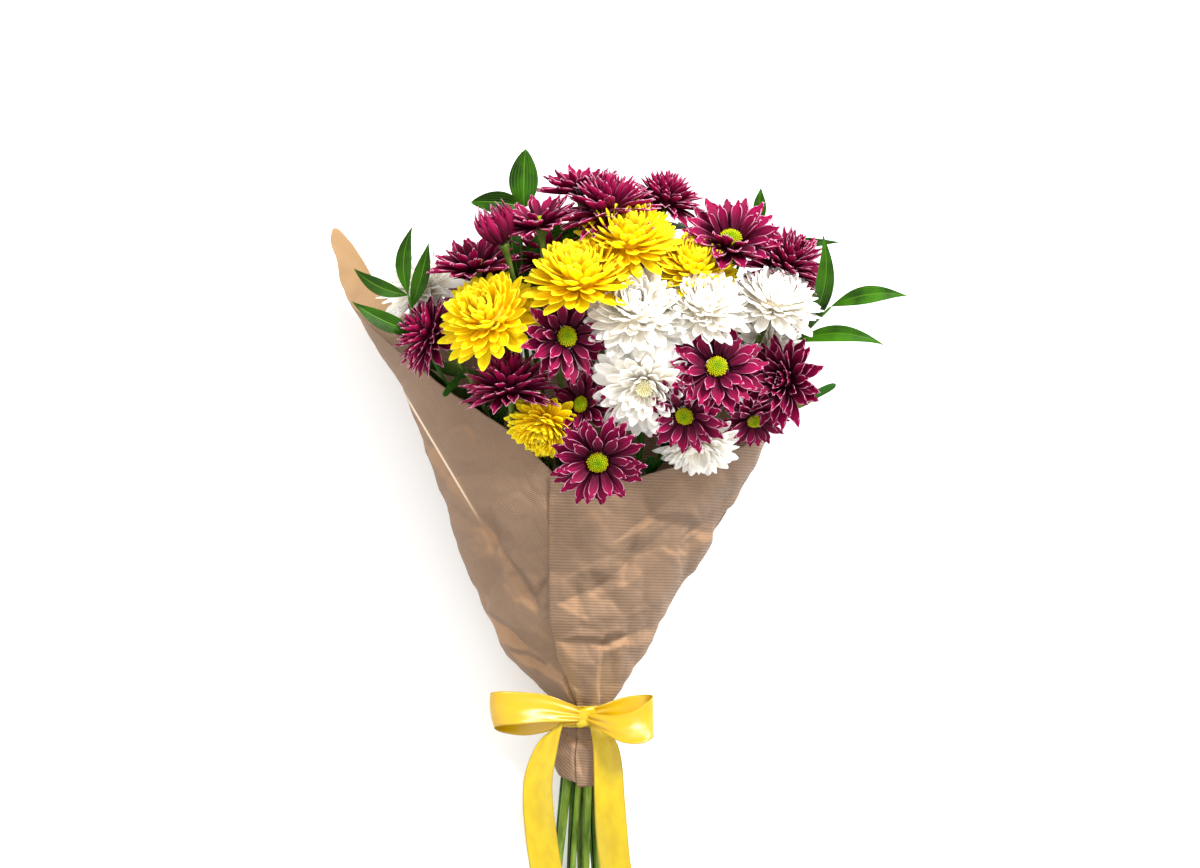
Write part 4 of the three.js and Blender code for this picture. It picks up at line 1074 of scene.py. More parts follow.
CUP = (
    Whorl(14, 7.8, -1.0, 12.0, 6.0, replace(BROAD_PETAL, length=28.5, width=8.4, cup=0.36), 7.0),
    Whorl(13, 7.6, 0.2, 27.0, 10.0, replace(BROAD_PETAL, length=27.5, width=7.8, cup=0.42), 7.0),
    Whorl(12, 7.0, 1.4, 42.0, 12.0, replace(NARROW_PETAL, length=25.0, cup=0.5), 7.0),
    Whorl(9, 5.6, 2.2, 58.0, 18.0, replace(NARROW_PETAL, length=19.0, width=6.0, cup=0.6), 9.0),
    Whorl(7, 3.8, 2.8, 70.0, 30.0, replace(NARROW_PETAL, length=13.5, width=5.0, cup=0.7), 9.0),
    Whorl(5, 1.9, 3.2, 80.0, 40.0, replace(NARROW_PETAL, length=9.0, width=4.4, cup=0.7), 7.0),
)
BOWL = (
    Whorl(13, 8.4, -0.8, 12.0, 6.0, replace(BROAD_PETAL, length=28.5, width=10.0, cup=0.34), 7.0),
    Whorl(12, 8.2, 0.4, 30.0, 8.0, replace(BROAD_PETAL, length=27.0, width=9.4, cup=0.38), 7.0),
    Whorl(8, 8.0, 1.6, 50.0, 10.0, replace(BROAD_PETAL, length=22.0, width=7.6, cup=0.46), 9.0),
)
BUD = (
    Whorl(13, 6.0, -1.0, 50.0, 74.0, replace(NARROW_PETAL, length=29.0, width=6.6, cup=0.4, tip=0.3), 3.0),
    Whorl(12, 5.4, 0.4, 60.0, 62.0, replace(NARROW_PETAL, length=28.0, width=6.2, cup=0.45, tip=0.3), 3.0),
    Whorl(10, 4.2, 1.6, 70.0, 44.0, replace(NARROW_PETAL, length=25.0, width=5.4, cup=0.5, tip=0.3), 3.0),
    Whorl(6, 2.0, 2.6, 80.0, 24.0, replace(NARROW_PETAL, length=22.0, width=4.8, cup=0.5, tip=0.3), 3.0),
)


class FlowerKind(Enum):
    """The kinds of chrysanthemum, each by its rings of petals from the outside in."""

    DAISY = DAISY
    CUP = CUP
    BOWL = BOWL
    BUD = BUD
    DOUBLE = DOUBLE
    FULL = FULL
    OPEN = OPEN


class PetalColour(Enum):
    """The three colours of flower, by the slot that their petals use."""

    MAGENTA = "magenta_petals"
    YELLOW = "yellow_petals"
    WHITE = "white_petals"


@dataclass(frozen=True)
class Flower:
    """A flower: where the middle of its core is and how it leans."""

    name: str
    kind: FlowerKind
    colour: PetalColour
    at: Triple
    lean: float
    bearing: float
    size: float
    disc: bool = False
    dense_rings: int = 6  # with more rings than this its heart is a full dome
    full_heart: Pair = (4.6, 3.4)  # how far the heart reaches past the petals' feet, outwards and up
    bare_heart: Pair = (-0.6, 0.6)
    lengths: Pair = (0.88, 1.04)  # a petal's length, against its ring's
    breadths: Pair = (0.88, 1.1)
    uneven: float = 0.28  # how far a petal strays round the flower, as a share of its room
    curl_stray: float = 6.0  # degrees, as are the next two
    sway: float = 9.0
    roll: float = 16.0
    petal_thickness: float = 0.38

    def matrix(self) -> Matrix:
        """Give the flower's frame, with +Z the way it faces."""
        lean, bearing = math.radians(self.lean), math.radians(self.bearing)
        sideways = Vector((math.cos(bearing), math.sin(bearing), 0.0))
        facing = sideways * math.sin(lean) + UP * math.cos(lean)
        turn = UP.rotation_difference(facing)
        return Matrix.LocRotScale(Vector(self.at), turn, Vector((self.size,) * 3))

    def grow(
        self, mesh: bmesh.types.BMesh, whorl: Whorl, azimuth: float, matrix: Matrix, chance: random.Random
    ) -> None:
        """Grow one petal.

        Args:
            mesh: The flower's mesh.
            whorl: The petal's ring.
            azimuth: Where it stands round the flower.
            matrix: The flower's frame.
            chance: The source of its small differences.
        """
        form = whorl.petal
        tone = mesh.verts.layers.float["tone"]
        lift = math.radians(whorl.lift + chance.uniform(-whorl.stray, whorl.stray))
        curl = math.radians(whorl.curl + chance.uniform(-self.curl_stray, self.curl_stray))
        length = form.length * chance.uniform(*self.lengths)
        breadth = chance.uniform(*self.breadths)
        sway = math.radians(chance.uniform(-self.sway, self.sway))
        roll = math.radians(chance.uniform(-self.roll, self.roll))
        shade = chance.uniform(-1.0, 1.0)
        radial = Vector((math.cos(azimuth), math.sin(azimuth), 0.0))
        side = Vector((-math.sin(azimuth), math.cos(azimuth), 0.0))
        foot = radial * whorl.radius + UP * whorl.height
        for vertex in grid(mesh, *form.faces):
            u, v = vertex.co.x, (vertex.co.y + 1.0) / 2.0
            s = v * (1.0 - form.point * u * u * v ** 3)
            bend = lift + curl * s * s
            mean = lift + curl * s * s / 3.0
            centre = foot + radial * (math.cos(mean) * s * length) + UP * (math.sin(mean) * s * length)
            centre += side * (math.sin(sway) * s * s * length * 0.6)
            up = UP * math.cos(bend) - radial * math.sin(bend)
            half = form.half_width(v) * breadth
            across = side * math.cos(roll * s) + up * math.sin(roll * s)
            above = up * math.cos(roll * s) - side * math.sin(roll * s)
            groove = form.groove * form.width * math.cos(3.0 * math.pi * u)
            rise = form.cup * half * u * u * mix(1.3, 0.8, s) - groove
            vertex.co = matrix @ (centre + across * (u * half) + above * rise)
            vertex[tone] = shade

    def core(self, mesh: bmesh.types.BMesh, matrix: Matrix) -> None:
        """Add the rounded heart that the petals grow from."""
        tone = mesh.verts.layers.float["tone"]
        whorls = self.kind.value
        outwards, upwards = self.full_heart if len(whorls) > self.dense_rings else self.bare_heart
        radius = max(whorl.radius for whorl in whorls) + outwards
        top = max(whorl.height for whorl in whorls) + upwards
        middle = Matrix.Translation((0.0, 0.0, top / 2.0 + LOWEST_WHORL))
        flat = middle @ Matrix.Diagonal((radius, radius, top / 2.0 + 1.0, 1.0))
        made = bmesh.ops.create_uvsphere(
            mesh, u_segments=20, v_segments=10, radius=1.0, matrix=matrix @ flat, calc_uvs=False
        )
        for vertex in made["verts"]:
            vertex[tone] = -0.6

    def build(self, finish: bpy.types.Material, seed: int) -> bpy.types.Object:
        """Build the flower's petals.

        Args:
            finish: The petals' material.
            seed: Makes the flower's small differences its own.

        Returns:
            The petals.
        """
        chance = random.Random(seed)
        mesh = bmesh.new()
        mesh.loops.layers.uv.new("petal")
        mesh.verts.layers.float.new("tone")
        matrix = self.matrix()
        for whorl in self.kind.value:
            start = chance.uniform(0.0, math.tau)
            for j in range(whorl.count):
                azimuth = start + (j + self.uneven * chance.uniform(-1.0, 1.0)) * math.tau / whorl.count
                self.grow(mesh, whorl, azimuth, matrix, chance)
        self.core(mesh, matrix)
        piece = finish_piece(self.name + "_petals", mesh, finish, self.colour.value, [self.name])
        thicken(piece, self.petal_thickness * 0.001)
        return piece


@dataclass(frozen=True)
class FlowerDisc:
    """The domed middle of an open flower, set with florets in a spiral."""

    flower: Flower
    slot: str
    radius: float = 7.4
    bottom: float = 2.6
    crown: float = 3.6  # how far it rises above its bottom
    florets: int = 110
    floret: float = 0.72  # a floret's radius

    def dome(self, share: float) -> float:
        """Give the dome's height at a share of the way out."""
        hollow = 0.5 * math.exp(-((share / 0.25) ** 2))
        return self.bottom + self.crown * math.sqrt(max(0.0, 1.0 - (0.96 * share) ** 2)) - hollow

    def build(self, finish: bpy.types.Material, seed: int) -> bpy.types.Object:
        """Build the disc."""
        chance = random.Random(seed)
        mesh = bmesh.new()
        tone = mesh.verts.layers.float.new("tone")
        matrix = self.flower.matrix()
        base = Matrix.Translation((0.0, 0.0, self.bottom)) @ Matrix.Diagonal(
            (self.radius, self.radius, self.crown - 0.3, 1.0)
        )
        made = bmesh.ops.create_uvsphere(mesh, u_segments=28, v_segments=14, radius=1.0, matrix=matrix @ base)
        # The dome shows between the florets, in their painted shade.
        for vertex in made["verts"]:
            vertex[tone] = 0.0
        for k in range(self.florets):
            share = math.sqrt((k + 0.5) / self.florets)
            angle = k * GOLDEN_ANGLE
            out = share * (self.radius - 0.2)
            place = Vector((out * math.cos(angle), out * math.sin(angle), self.dome(share) - 0.25))
            outward = Vector((math.cos(angle) * share * 1.1, math.sin(angle) * share * 1.1, 1.0)).normalized()
            size = self.floret * mix(0.78, 1.12, share) * chance.uniform(0.85, 1.12)
            tall = Vector((size, size, size * 1.5))
            stand = Matrix.LocRotScale(place, UP.rotation_difference(outward), tall)
            made = bmesh.ops.create_icosphere(mesh, subdivisions=1, radius=1.0, matrix=matrix @ stand)
            for vertex in made["verts"]:
                vertex[tone] = clamp(0.15 + 0.85 * share + chance.uniform(-0.08, 0.08))
        solid = self.flower.name + "_disc"
        nodes = [solid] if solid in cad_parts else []
        return finish_piece(self.flower.name + "_florets", mesh, finish, self.slot, nodes)


# ---- The stems and the foliage -------------------------------------------------------------------------


@dataclass(frozen=True)
class SprayStems:
    """The stem of a spray with its stalks and lobed leaves, as smooth as they grow."""

    name: str
    levels: int = 2
    plump: float = 0.55  # what the smoothing would take off
    leaf_tips: Sequence[Triple] = (
        (-106, 240, 146), (198, 256, 122), (116, 204, 92), (52, 200, 118), (-152, 276, 104), (-126, 254, 108),
    )
    leaf_reach: float = 36.0  # how far a leaf runs back from its tip
    leaf_fade: float = 9.0  # over which its green turns into the stem's

    def build(self, finish: bpy.types.Material) -> bpy.types.Object:
        """Build the stems from a merged copy of their solid, with a darker green on their leaves."""
        mesh = bmesh.new()
        mesh.from_mesh(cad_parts[self.name].data)
        mesh.transform(TO_FRAME.inverted())
        bmesh.ops.remove_doubles(mesh, verts=mesh.verts, dist=0.005)
        bmesh.ops.join_triangles(
            mesh, faces=mesh.faces,
            angle_face_threshold=math.radians(35), angle_shape_threshold=math.radians(60),
        )
        mesh.normal_update()
        tone = mesh.verts.layers.float.new("tone")
        for vertex in mesh.verts:
            near = min((vertex.co - Vector(tip)).length for tip in self.leaf_tips)
            vertex[tone] = smooth((self.leaf_reach - near) / self.leaf_fade)
            vertex.co += vertex.normal * self.plump
        piece = finish_piece(self.name + "_stalks", mesh, finish, "stem", [self.name])
        subdivide(piece, self.levels)
        return piece


@dataclass(frozen=True)
class Leaf:
    """A ruscus leaf from its base to its tip, with its width, its bulge to one side and its arch."""

    base: Triple
    tip: Triple
    width: float
    bulge: float
    arch: float
    fullness: float = 1.15  # 1 or less for a leaf that stays wide to its ends
    tone: float = 0.0  # painted light and shade: how much lighter or darker the leaf is painted for the light or shade that falls on it
    faces: tuple[int, int] = (8, 18)

    def build(self, mesh: bmesh.types.BMesh, base: Vector, chance: random.Random) -> None:
        """Add the leaf to its sprig.

        Args:
            mesh: The sprig's mesh.
            base: Where it joins the stem.
            chance: The source of its small differences.
        """
        tone = mesh.verts.layers.float["tone"]
        tip = Vector(self.tip)
        run = tip - base
        across = UP.cross(run).normalized()
        middle = (base + tip) / 2.0 + across * (2.0 * self.bulge) + UP * (2.0 * self.arch)
        shade = self.tone + chance.uniform(-0.25, 0.25)
        wave = chance.uniform(0.0, math.tau)
        for vertex in grid(mesh, *self.faces):
            u, s = vertex.co.x, (vertex.co.y + 1.0) / 2.0
            centre = base * (1 - s) ** 2 + middle * (2 * s * (1 - s)) + tip * s * s
            tangent = (middle - base) * (1 - s) + (tip - middle) * s
            above = tangent.cross(across).normalized()
            half = self.width / 2.0 * (0.03 + 0.97 * math.sin(math.pi * clamp(s) ** 0.9) ** self.fullness)
            rise = half * (0.34 * abs(u) - 0.1 + 0.05 * math.sin(9.0 * s + wave) * u)
            vertex.co = centre + across * (u * half) + above * rise
            vertex[tone] = shade


@dataclass(frozen=True)
class StalkLeaves:
    """The lobed leaves on the flowers' stalks, which fill the bouquet between its flowers."""

    each: int = 7
    below: Pair = (15.0, 46.0)  # how far under the flower a leaf joins its stalk
    length: Pair = (30.0, 44.0)
    width: Pair = (17.0, 25.0)
    droop: Pair = (0.1, 0.6)
    lobes: float = 3.0
    sides: Pair = (-160.0, 165.0)
    tallest: float = 205.0
    clear: float = 15.0  # how far a leaf stays below another flower's face
    wall: float = 14.0  # how far it stays inside the paper
    floor: float = 12.0
    lowest: float = 175.0  # no leaf comes nearer to the tie
    thickness: float = 0.4
    faces: tuple[int, int] = (6, 14)

    def lobed(self, s: float) -> float:
        """Give a leaf's half width, as a share, at a share of its length."""
        outline = math.sin(math.pi * clamp(s) ** 1.25) ** 0.8
        notch = abs(math.sin(math.pi * self.lobes * s + 0.4))
        return 0.06 + 0.94 * outline * (0.42 + 0.58 * notch)

    def fits(self, point: Vector, flowers: Sequence[Flower], paper: PaperWrap) -> bool:
        """Tell whether a leaf may reach a point: inside the paper and under every flower.

        Args:
            point: The point.
            flowers: The bouquet's flowers.
            paper: The paper round them.

        Returns:
            True if nothing shows in front of a flower or through the paper.
        """
        low, high = self.sides
        if not (low < point.x < high and self.floor < point.z < self.tallest and point.y > self.lowest):
            return False
        for flower in flowers:
            reach = point - Vector(flower.at)
            facing = flower.matrix().to_3x3().normalized() @ UP
            depth = reach.dot(facing)
            if depth > -self.clear * 0.4 and (reach - facing * depth).length < 36.0 * flower.size:
                return False
            if depth > -self.clear and (reach - facing * depth).length < 14.0 * flower.size:
                return False
        left, right, back, front = (along(paper.cone, point.y, column) for column in (1, 2, 3, 4))
        middle = mix(back, front, paper.widest_at)
        across = (point.x - (left + right) / 2.0) / ((right - left) / 2.0 - self.wall)
        deep = front - middle if point.z > middle else middle - back
        rise = (point.z - middle) / (deep - self.wall)
        return across * across + rise * rise < 1.0

    def leaf(
        self, mesh: bmesh.types.BMesh, flower: Flower, flowers: Sequence[Flower], paper: PaperWrap,
        chance: random.Random,
    ) -> None:
        """Add one leaf to a flower's stalk, where it stays within the bouquet.

        Args:
            mesh: The leaves' mesh.
            flower: The flower above it.
            flowers: The bouquet's flowers.
            paper: The paper round them.
            chance: The source of its place and shape.
        """
        tone = mesh.verts.layers.float["tone"]
        frame_of = flower.matrix().to_3x3().normalized()
        facing = frame_of @ UP
        azimuth = chance.uniform(0.0, math.tau)
        outward = frame_of @ Vector((math.cos(azimuth), math.sin(azimuth), 0.0))
        base = Vector(flower.at) - facing * chance.uniform(*self.below) * flower.size
        length, width = chance.uniform(*self.length), chance.uniform(*self.width)
        across = facing.cross(outward).normalized()
        slope = chance.uniform(*self.droop)
        shade = chance.uniform(-1.0, 1.0)
        tip = base + (outward + facing * slope * 0.4).normalized() * length
        if not all(self.fits(base.lerp(tip, s), flowers, paper) for s in (0.0, 0.35, 0.7, 1.0)):
            return
        for vertex in grid(mesh, *self.faces):
            u, s = vertex.co.x, (vertex.co.y + 1.0) / 2.0
            centre = base.lerp(tip, s) + facing * (length * slope * 0.5 * math.sin(math.pi * s) * 0.6)
            half = width / 2.0 * self.lobed(s)
            rise = half * (0.3 * abs(u) + 0.08 * math.sin(11.0 * s + azimuth) * u)
            vertex.co = centre + across * (u * half) + facing * rise
            vertex[tone] = shade

    def build(
        self, flowers: Sequence[Flower], paper: PaperWrap, finish: bpy.types.Material, seed: int
    ) -> bpy.types.Object:
        """Build the leaves as one piece.

        Args:
            flowers: The flowers whose stalks they grow on.
            paper: The paper round them.
            finish: The leaves' material.
            seed: Makes their places the same each time.

        Returns:
            The leaves.
        """
        chance = random.Random(seed)
        mesh = bmesh.new()
        mesh.loops.layers.uv.new("petal")
        mesh.verts.layers.float.new("tone")
        for flower in flowers:
            for _ in range(self.each):
                self.leaf(mesh, flower, flowers, paper, chance)
        piece = finish_piece("stalk_leaves", mesh, finish, "leaf")
        thicken(piece, self.thickness * 0.001)
        return piece


@dataclass(frozen=True)
class Sprig:
    """A foliage sprig: a thin stem through the tie and its leaves."""

    name: str
    place: Pair  # its column and row in the tie
    path: Sequence[Triple]  # its way above the tie
    leaves: Sequence[Leaf]
    pitch: float = 5.5  # between neighbouring stems in the tie
    row: float = 0.87  # the rows' distance, in pitches
    neck: float = 44.6  # the tie's middle above the floor
    cut: Pair = (-176.0, 18.0)  # where the stems are cut, and their height there
    splay: Triple = (2.7, 1.3, -28.0)  # how wide, how high and how turned they stand at their cut ends
    radii: Pair = (2.5, 1.0)  # at the cut end and at the tip
    tip: Pair = (0.995, 0.4)  # where the stem narrows to a tip, and to how much of its radius
    faces: tuple[int, int] = (10, 64)

    def tie_point(self) -> Vector:
        """Give the stem's place in the tie."""
        column, row = self.place
        return Vector((column * self.pitch, 0.0, self.neck + row * self.row * self.pitch))

    def cut_end(self) -> Vector:
        """Give the stem's cut end."""
        column, row = self.place
        across, up, turn = self.splay
        offset = Vector((column * self.pitch, 0.0, row * self.row * self.pitch))
        offset.rotate(Quaternion((0.0, 1.0, 0.0), math.radians(turn)))
        y, height = self.cut
        return Vector((offset.x * across, y, height + offset.z * up))

    def route(self) -> list[Vector]:
        """Give the points that the stem goes through."""
        tie, end = self.tie_point(), self.cut_end()
        first = Vector(self.path[0])
        rise = tie.lerp(first, 0.16) + Vector((0.0, 8.0, 0.0))
        return [end, tie.lerp(end, 0.3), tie, rise, *(Vector(p) for p in self.path)]

    def build(self, finish: bpy.types.Material, seed: int) -> bpy.types.Object:
        """Build the sprig.

        Args:
            finish: The leaves' material.
            seed: Makes its small differences its own.

        Returns:
            The sprig.
        """
        chance = random.Random(seed)
        mesh = bmesh.new()
        mesh.loops.layers.uv.new("petal")
        mesh.verts.layers.float.new("tone")
        points = self.route()
        start, end = self.radii
        tip_from, tip_share = self.tip
        for vertex in grid(mesh, *self.faces):
            angle, t = math.pi * vertex.co.x, (vertex.co.y + 1.0) / 2.0
            centre = spline(points, t)
            tangent = heading(points, t).normalized()
            side = tangent.cross(UP).normalized()
            radius = mix(start, end, t) * (1.0 if t < tip_from else tip_share)
            vertex.co = centre + (side * math.cos(angle) + side.cross(tangent) * math.sin(angle)) * radius
        bmesh.ops.remove_doubles(mesh, verts=mesh.verts, dist=0.01)
        bmesh.ops.holes_fill(mesh, edges=[edge for edge in mesh.edges if edge.is_boundary], sides=0)
        bmesh.ops.recalc_face_normals(mesh, faces=mesh.faces)
        marks = [spline(points, (4 + k / 2) / (len(points) - 1)) for k in range(2 * len(self.path) - 1)]
        for leaf in self.leaves:
            base = min(marks, key=lambda mark: (mark - Vector(leaf.base)).length)
            leaf.build(mesh, base, chance)
        return finish_piece(self.name + "_leaves", mesh, finish, "leaf", [self.name])


# ---- The bouquet ---------------------------------------------------------------------------------------


@dataclass
class Bouquet:
    """Everything that the paper holds."""

    paper: PaperWrap = field(default_factory=PaperWrap)
    magenta: PetalFinish = PetalFinish(
        "magenta_petals", foot="#1d0110", middle="#450120", tip="#84043b", margin="#d0a0b6",
        margin_share=0.07, streak="#9c0848", streak_share=0.34, glow=0.06,
        glow_tint=(1.0, 0.3, 0.5), gloss=0.12, variety=0.26,
    )
    yellow: PetalFinish = PetalFinish(
        "yellow_petals", foot="#f4ba00", middle="#fdd004", tip="#ffd80c", margin="#ffe234",
        margin_share=0.04, streak="#f9c600", streak_share=0.22, glow=0.6,
        glow_tint=(2.6, 2.1, 0.5), gloss=0.2, variety=0.07,
    )
    white: PetalFinish = PetalFinish(
        "white_petals", foot="#fbeed0", middle="#fff8e9", tip="#fffbf2", margin="#fffdf8",
        margin_share=0.04, streak="#fdf9f0", streak_share=0.2, glow=0.5,
        glow_tint=(3.0, 2.85, 2.6), gloss=0.2, variety=0.03,
    )
    lime: FloretFinish = FloretFinish(
        "lime_disc", depth="#4b6400", heart="#769800", body="#93a800", rim="#a8980a"
    )
    cream: FloretFinish = FloretFinish(
        "cream_disc", depth="#d9cd86", heart="#ece3aa", body="#f6efcb", rim="#faf6e2"
    )
    stem: LeafFinish = LeafFinish(
        "stem", deep="#48681c", fresh="#7c9c36", vein="#a6b966", roughness=0.5, veins=0.0
    )
    leaf: LeafFinish = LeafFinish(
        "leaf", deep="#0d2503", fresh="#2f5f06", vein="#588a12", roughness=0.34, veins=9.0
    )
    lobed: LeafFinish = LeafFinish(
        "leaf", deep="#0c1f06", fresh="#1d3f0d", vein="#3c6222", roughness=0.6, veins=3.0
    )
    flower_seed: int = 40
    disc_seed: int = 90
    leaf_seed: int = 5
    sprig_seed: int = 7

    def flowers(self) -> list[Flower]:
        """List the flowers by their colour."""
        daisy, cup, bowl, bud = FlowerKind.DAISY, FlowerKind.CUP, FlowerKind.BOWL, FlowerKind.BUD
        double, full, opened = FlowerKind.DOUBLE, FlowerKind.FULL, FlowerKind.OPEN
        magenta, yellow, white = PetalColour.MAGENTA, PetalColour.YELLOW, PetalColour.WHITE
        return [
            Flower("flower_top", bowl, magenta, (-2, 396, 118), 80, 92, 0.98, True),
            Flower("flower_top_low", double, magenta, (20, 377, 156), 82, 96, 1.1),
            Flower("flower_top_right", double, magenta, (60, 386, 126), 80, 80, 0.9),
            Flower("flower_upper_left", bowl, magenta, (-32, 370, 166), 70, 104, 0.92, True),
            Flower("flower_half_open", bud, magenta, (-60, 358, 176), 72, 112, 1.0),
            Flower("flower_left_top", bowl, magenta, (-80, 338, 158), 72, 100, 1.0, True),
            Flower("flower_left_low", double, magenta, (-54, 246, 158), 78, 92, 1.06),
            Flower("flower_left", double, magenta, (-112, 288, 142), 62, 150, 0.92),
            Flower("flower_middle", daisy, magenta, (-13, 286, 184), 26, 20, 1.03, True),
            Flower("flower_front", daisy, magenta, (11, 195, 178), 26, 268, 1.06, True),
            Flower("flower_shaded", daisy, magenta, (0, 236, 158), 38, 160, 0.84, True),
            Flower("flower_right", daisy, magenta, (99, 263, 186), 22, 80, 1.06, True),
            Flower("flower_front_right", daisy, magenta, (76, 229, 180), 30, 240, 0.92, True),
            Flower("flower_far_right", cup, magenta, (150, 254, 150), 28, 170, 1.08),
            Flower("flower_right_shaded", daisy, magenta, (128, 226, 142), 46, 280, 0.8, True),
            Flower("flower_upper_right", bowl, magenta, (110, 358, 152), 46, 86, 1.12, True),
            Flower("flower_far_upper_right", double, magenta, (150, 338, 138), 52, 60, 1.04),
            Flower("flower_back_right", double, magenta, (142, 300, 66), 96, 30, 0.86),
            Flower("flower_back_middle", double, magenta, (-28, 344, 104), 84, 94, 0.96),
            Flower("flower_back_left", double, magenta, (-78, 330, 70), 92, 122, 0.96),
            Flower("flower_yellow_low", full, yellow, (-2, 326, 184), 62, 92, 1.2),
            Flower("flower_yellow_top", full, yellow, (34, 356, 166), 60, 86, 1.14),
            Flower("flower_yellow_right", full, yellow, (82, 335, 160), 56, 76, 0.98),
            Flower("flower_yellow_left", full, yellow, (-68, 299, 178), 44, 118, 1.12),
            Flower("flower_yellow_shaded", full, yellow, (-28, 222, 146), 50, 250, 0.84),
            Flower("flower_white_open", opened, white, (46, 250, 178), 26, 262, 1.18, True),
            Flower("flower_white_middle", full, white, (40, 304, 178), 34, 96, 1.18),
            Flower("flower_white_low", opened, white, (86, 206, 140), 52, 270, 0.92),
            Flower("flower_white_right", full, white, (90, 306, 178), 46, 84, 0.98),
            Flower("flower_white_far_right", full, white, (142, 310, 160), 60, 74, 1.02),
            Flower("flower_cream", double, white, (138, 280, 124), 50, 20, 0.9),
            Flower("flower_white_left", double, white, (-120, 322, 112), 66, 120, 1.02),
            Flower("flower_white_back", full, white, (56, 350, 62), 92, 80, 0.98),
        ]

    def sprays(self) -> list[SprayStems]:
        """List the sprays by the solids of their stems."""
        return [SprayStems(name) for name in sorted(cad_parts) if "_spray_" in name]

    def sprigs(self) -> list[Sprig]:
        """List the foliage sprigs."""
        # Each sprig leaf's tone is painted light and shade: above 0 painted lighter, below 0 painted darker.
        return [
            Sprig(
                "foliage_sprig_left", (-2, 0),
                path=((-72, 150, 96), (-92, 228, 106), (-122, 290, 138), (-130, 318, 148)),
                leaves=(
                    Leaf((-131, 322, 148), (-127, 369, 152), 12, 5, 3, tone=-0.1),
                    Leaf((-124, 300, 143), (-115, 357, 148), 12.5, -1, 3, tone=-0.8),
                    Leaf((-130, 318, 148), (-171, 338, 144), 12, 4, 5, tone=-0.8),
                    Leaf((-124, 298, 142), (-172, 313, 150), 14, 3, 4, tone=-0.2),
                    Leaf((-92, 228, 106), (-118, 266, 106), 17, 3, 2, tone=-0.7),
                    Leaf((-86, 206, 103), (-82, 262, 112), 19, -2, 2, tone=-0.7),
                    Leaf((-82, 190, 101), (-54, 244, 110), 19, 2, 2, tone=-0.7),
                ),
            ),
            Sprig(
                "foliage_sprig_top", (-0.5, 1),
                path=((-10, 160, 86), (-38, 280, 112), (-46, 350, 122), (-44, 384, 122)),
                leaves=(
                    Leaf((-44, 380, 122), (-43, 428, 124), 22, 1, 2, 0.8, 0.1),
                    Leaf((-44, 332, 119), (-55, 374, 110), 19, 2, 2, tone=-0.7),
                    Leaf((-40, 300, 114), (-42, 347, 106), 19, -2, 3, tone=-0.7),
                    Leaf((-46, 350, 120), (14, 368, 106), 21, 3, 2, tone=-0.7),
                    Leaf((-60, 250, 112), (-34, 292, 106), 21, 3, 2, tone=-0.7),
                    Leaf((-44, 384, 122), (-84, 388, 124), 17, -2, 3, 0.8),
                ),
            ),
            Sprig(
                "foliage_sprig_right", (2, 0),
                path=((70, 150, 84), (142, 262, 108), (168, 292, 120), (186, 310, 122)),
                leaves=(
                    Leaf((168, 292, 120), (178, 363, 166), 14, -7, 14, tone=-0.3),
                    Leaf((186, 310, 122), (243, 318, 124), 13.5, 5, 3, tone=0.9),
                    Leaf((162, 286, 118), (226, 281, 122), 12.5, 8, 4, tone=0.6),
                ),
            ),
            Sprig(
                "foliage_sprig_back", (0.5, -1),
                path=((44, 160, 60), (96, 290, 84), (122, 352, 96), (134, 372, 100)),
                leaves=(
                    Leaf((134, 370, 100), (134, 400, 102), 10, 1, 1),
                    Leaf((124, 354, 97), (194, 359, 98), 10, 2, 4),
                ),
            ),
        ]

    def build(self) -> None:
        """Build every piece."""
        self.paper.build(KraftFinish().make())
        SatinRibbon(self.paper).build(SatinFinish().make())
        petals = {
            PetalColour.MAGENTA: self.magenta.make(),
            PetalColour.YELLOW: self.yellow.make(),
            PetalColour.WHITE: self.white.make(),
        }
        lime, cream = self.lime.make(), self.cream.make()
        for i, flower in enumerate(self.flowers()):
            flower.build(petals[flower.colour], self.flower_seed + i)
            if flower.disc and flower.colour is PetalColour.WHITE:
                small = FlowerDisc(flower, "cream_disc", radius=5.8, florets=60, floret=0.7)
                small.build(cream, self.disc_seed + i)
            elif flower.disc:
                FlowerDisc(flower, "lime_disc").build(lime, self.disc_seed + i)
        stalks, leaves = self.stem.make("stem_green"), self.leaf.make("ruscus_leaf")
        StalkLeaves().build(self.flowers(), self.paper, self.lobed.make("lobed_leaf"), self.leaf_seed)
        for spray in self.sprays():
            spray.build(stalks)
        for i, sprig in enumerate(self.sprigs()):
            sprig.build(leaves, self.sprig_seed + i)


# ---- The studio ----------------------------------------------------------------------------------------


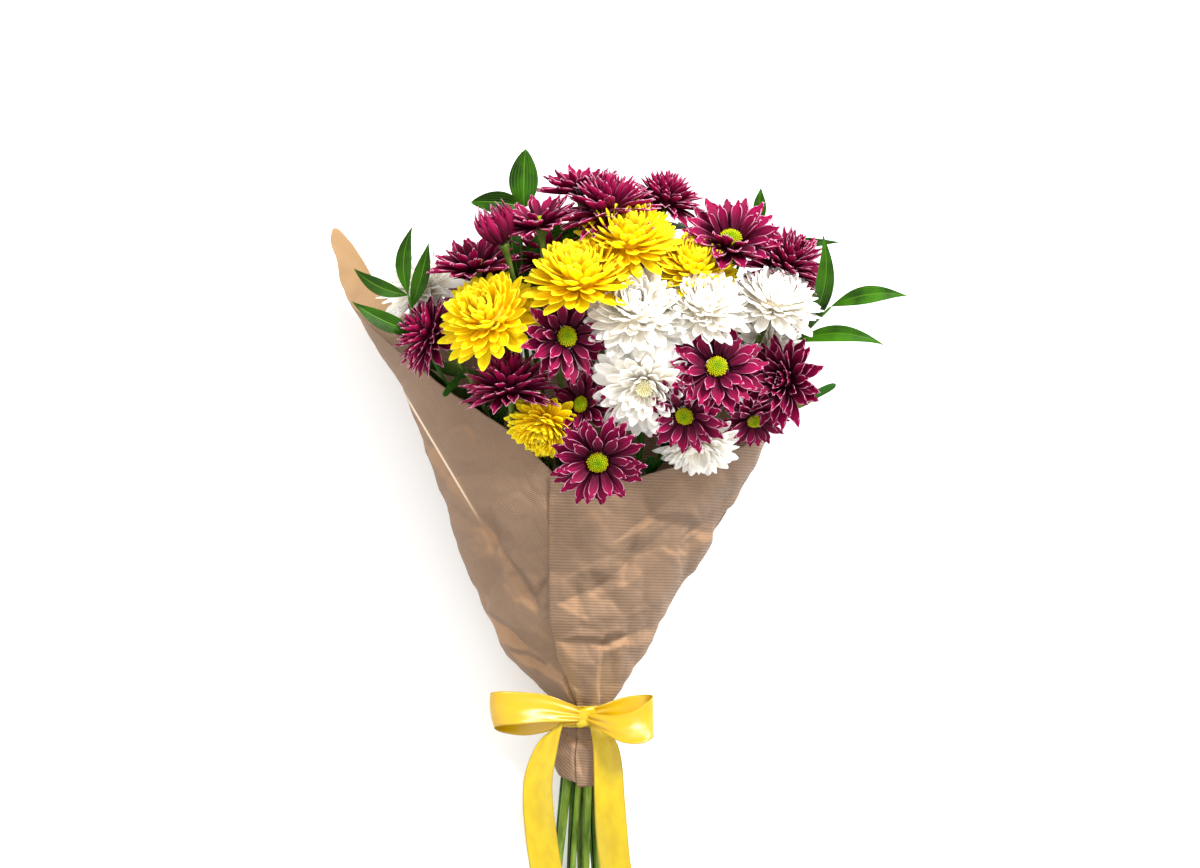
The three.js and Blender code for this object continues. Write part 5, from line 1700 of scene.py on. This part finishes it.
@dataclass(frozen=True)
class SoftLight:
    """A soft square lamp that faces a point of the bouquet."""

    name: str
    place: Triple
    size: float
    power: float
    tint: str = "#ffffff"

    def hang(self, target: Vector) -> None:
        """Hang the lamp."""
        lamp = bpy.data.lights.new(self.name, "AREA")
        lamp.shape = "SQUARE"
        lamp.size = self.size
        lamp.energy = self.power
        lamp.color = colour(self.tint)[:3]
        holder = bpy.data.objects.new(self.name, lamp)
        holder.location = self.place
        holder.rotation_euler = (target - Vector(self.place)).to_track_quat("-Z", "Y").to_euler()
        bpy.context.scene.collection.objects.link(holder)


@dataclass(frozen=True)
class Studio:
    """The floor, the light and the camera above the bouquet."""

    view_centre: Pair = (0.01275, 0.0245)
    view_width: float = 0.9
    focus_height: float = 0.12
    lens: float = 180.0
    sensor: float = 36.0
    floor_size: float = 40.0
    sky: float = 1.14
    lights: Sequence[SoftLight] = (
        SoftLight("key_light", (0.95, 1.4, 1.5), 0.5, 86.0),
        SoftLight("fill_light", (-1.4, -0.6, 1.9), 1.6, 15.0),
    )

    def camera(self) -> None:
        """Hang the camera straight above, with +Y up in its picture."""
        lens = bpy.data.cameras.new("studio_camera")
        lens.lens = self.lens
        lens.sensor_width = self.sensor
        lens.clip_end = 60.0
        holder = bpy.data.objects.new("studio_camera", lens)
        distance = self.view_width * self.lens / self.sensor
        holder.location = (*self.view_centre, self.focus_height + distance)
        bpy.context.scene.collection.objects.link(holder)
        bpy.context.scene.camera = holder

    def floor(self) -> None:
        """Lay the floor."""
        mesh = bmesh.new()
        bmesh.ops.create_grid(mesh, x_segments=1, y_segments=1, size=self.floor_size / 2.0)
        data = bpy.data.meshes.new("studio_floor")
        mesh.to_mesh(data)
        mesh.free()
        data.materials.append(FloorFinish().make())
        floor = bpy.data.objects.new("studio_floor", data)
        bpy.context.scene.collection.objects.link(floor)

    def build(self) -> None:
        """Set up the studio."""
        self.camera()
        self.floor()
        target = Vector((*self.view_centre, self.focus_height))
        for light in self.lights:
            light.hang(target)
        scene = bpy.context.scene
        world = scene.world or bpy.data.worlds.new("studio_sky")
        scene.world = world
        world.use_nodes = True
        sky = world.node_tree.nodes["Background"]
        sky.inputs["Color"].default_value = colour("#ffffff")
        sky.inputs["Strength"].default_value = self.sky
        scene.view_settings.view_transform = "Standard"


def main() -> None:
    """Build the studio and the bouquet."""
    logging.basicConfig(level=logging.INFO, format="%(name)s: %(message)s")
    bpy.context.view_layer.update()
    Studio().build()
    Bouquet().build()


if __name__ == "__main__":
    main()
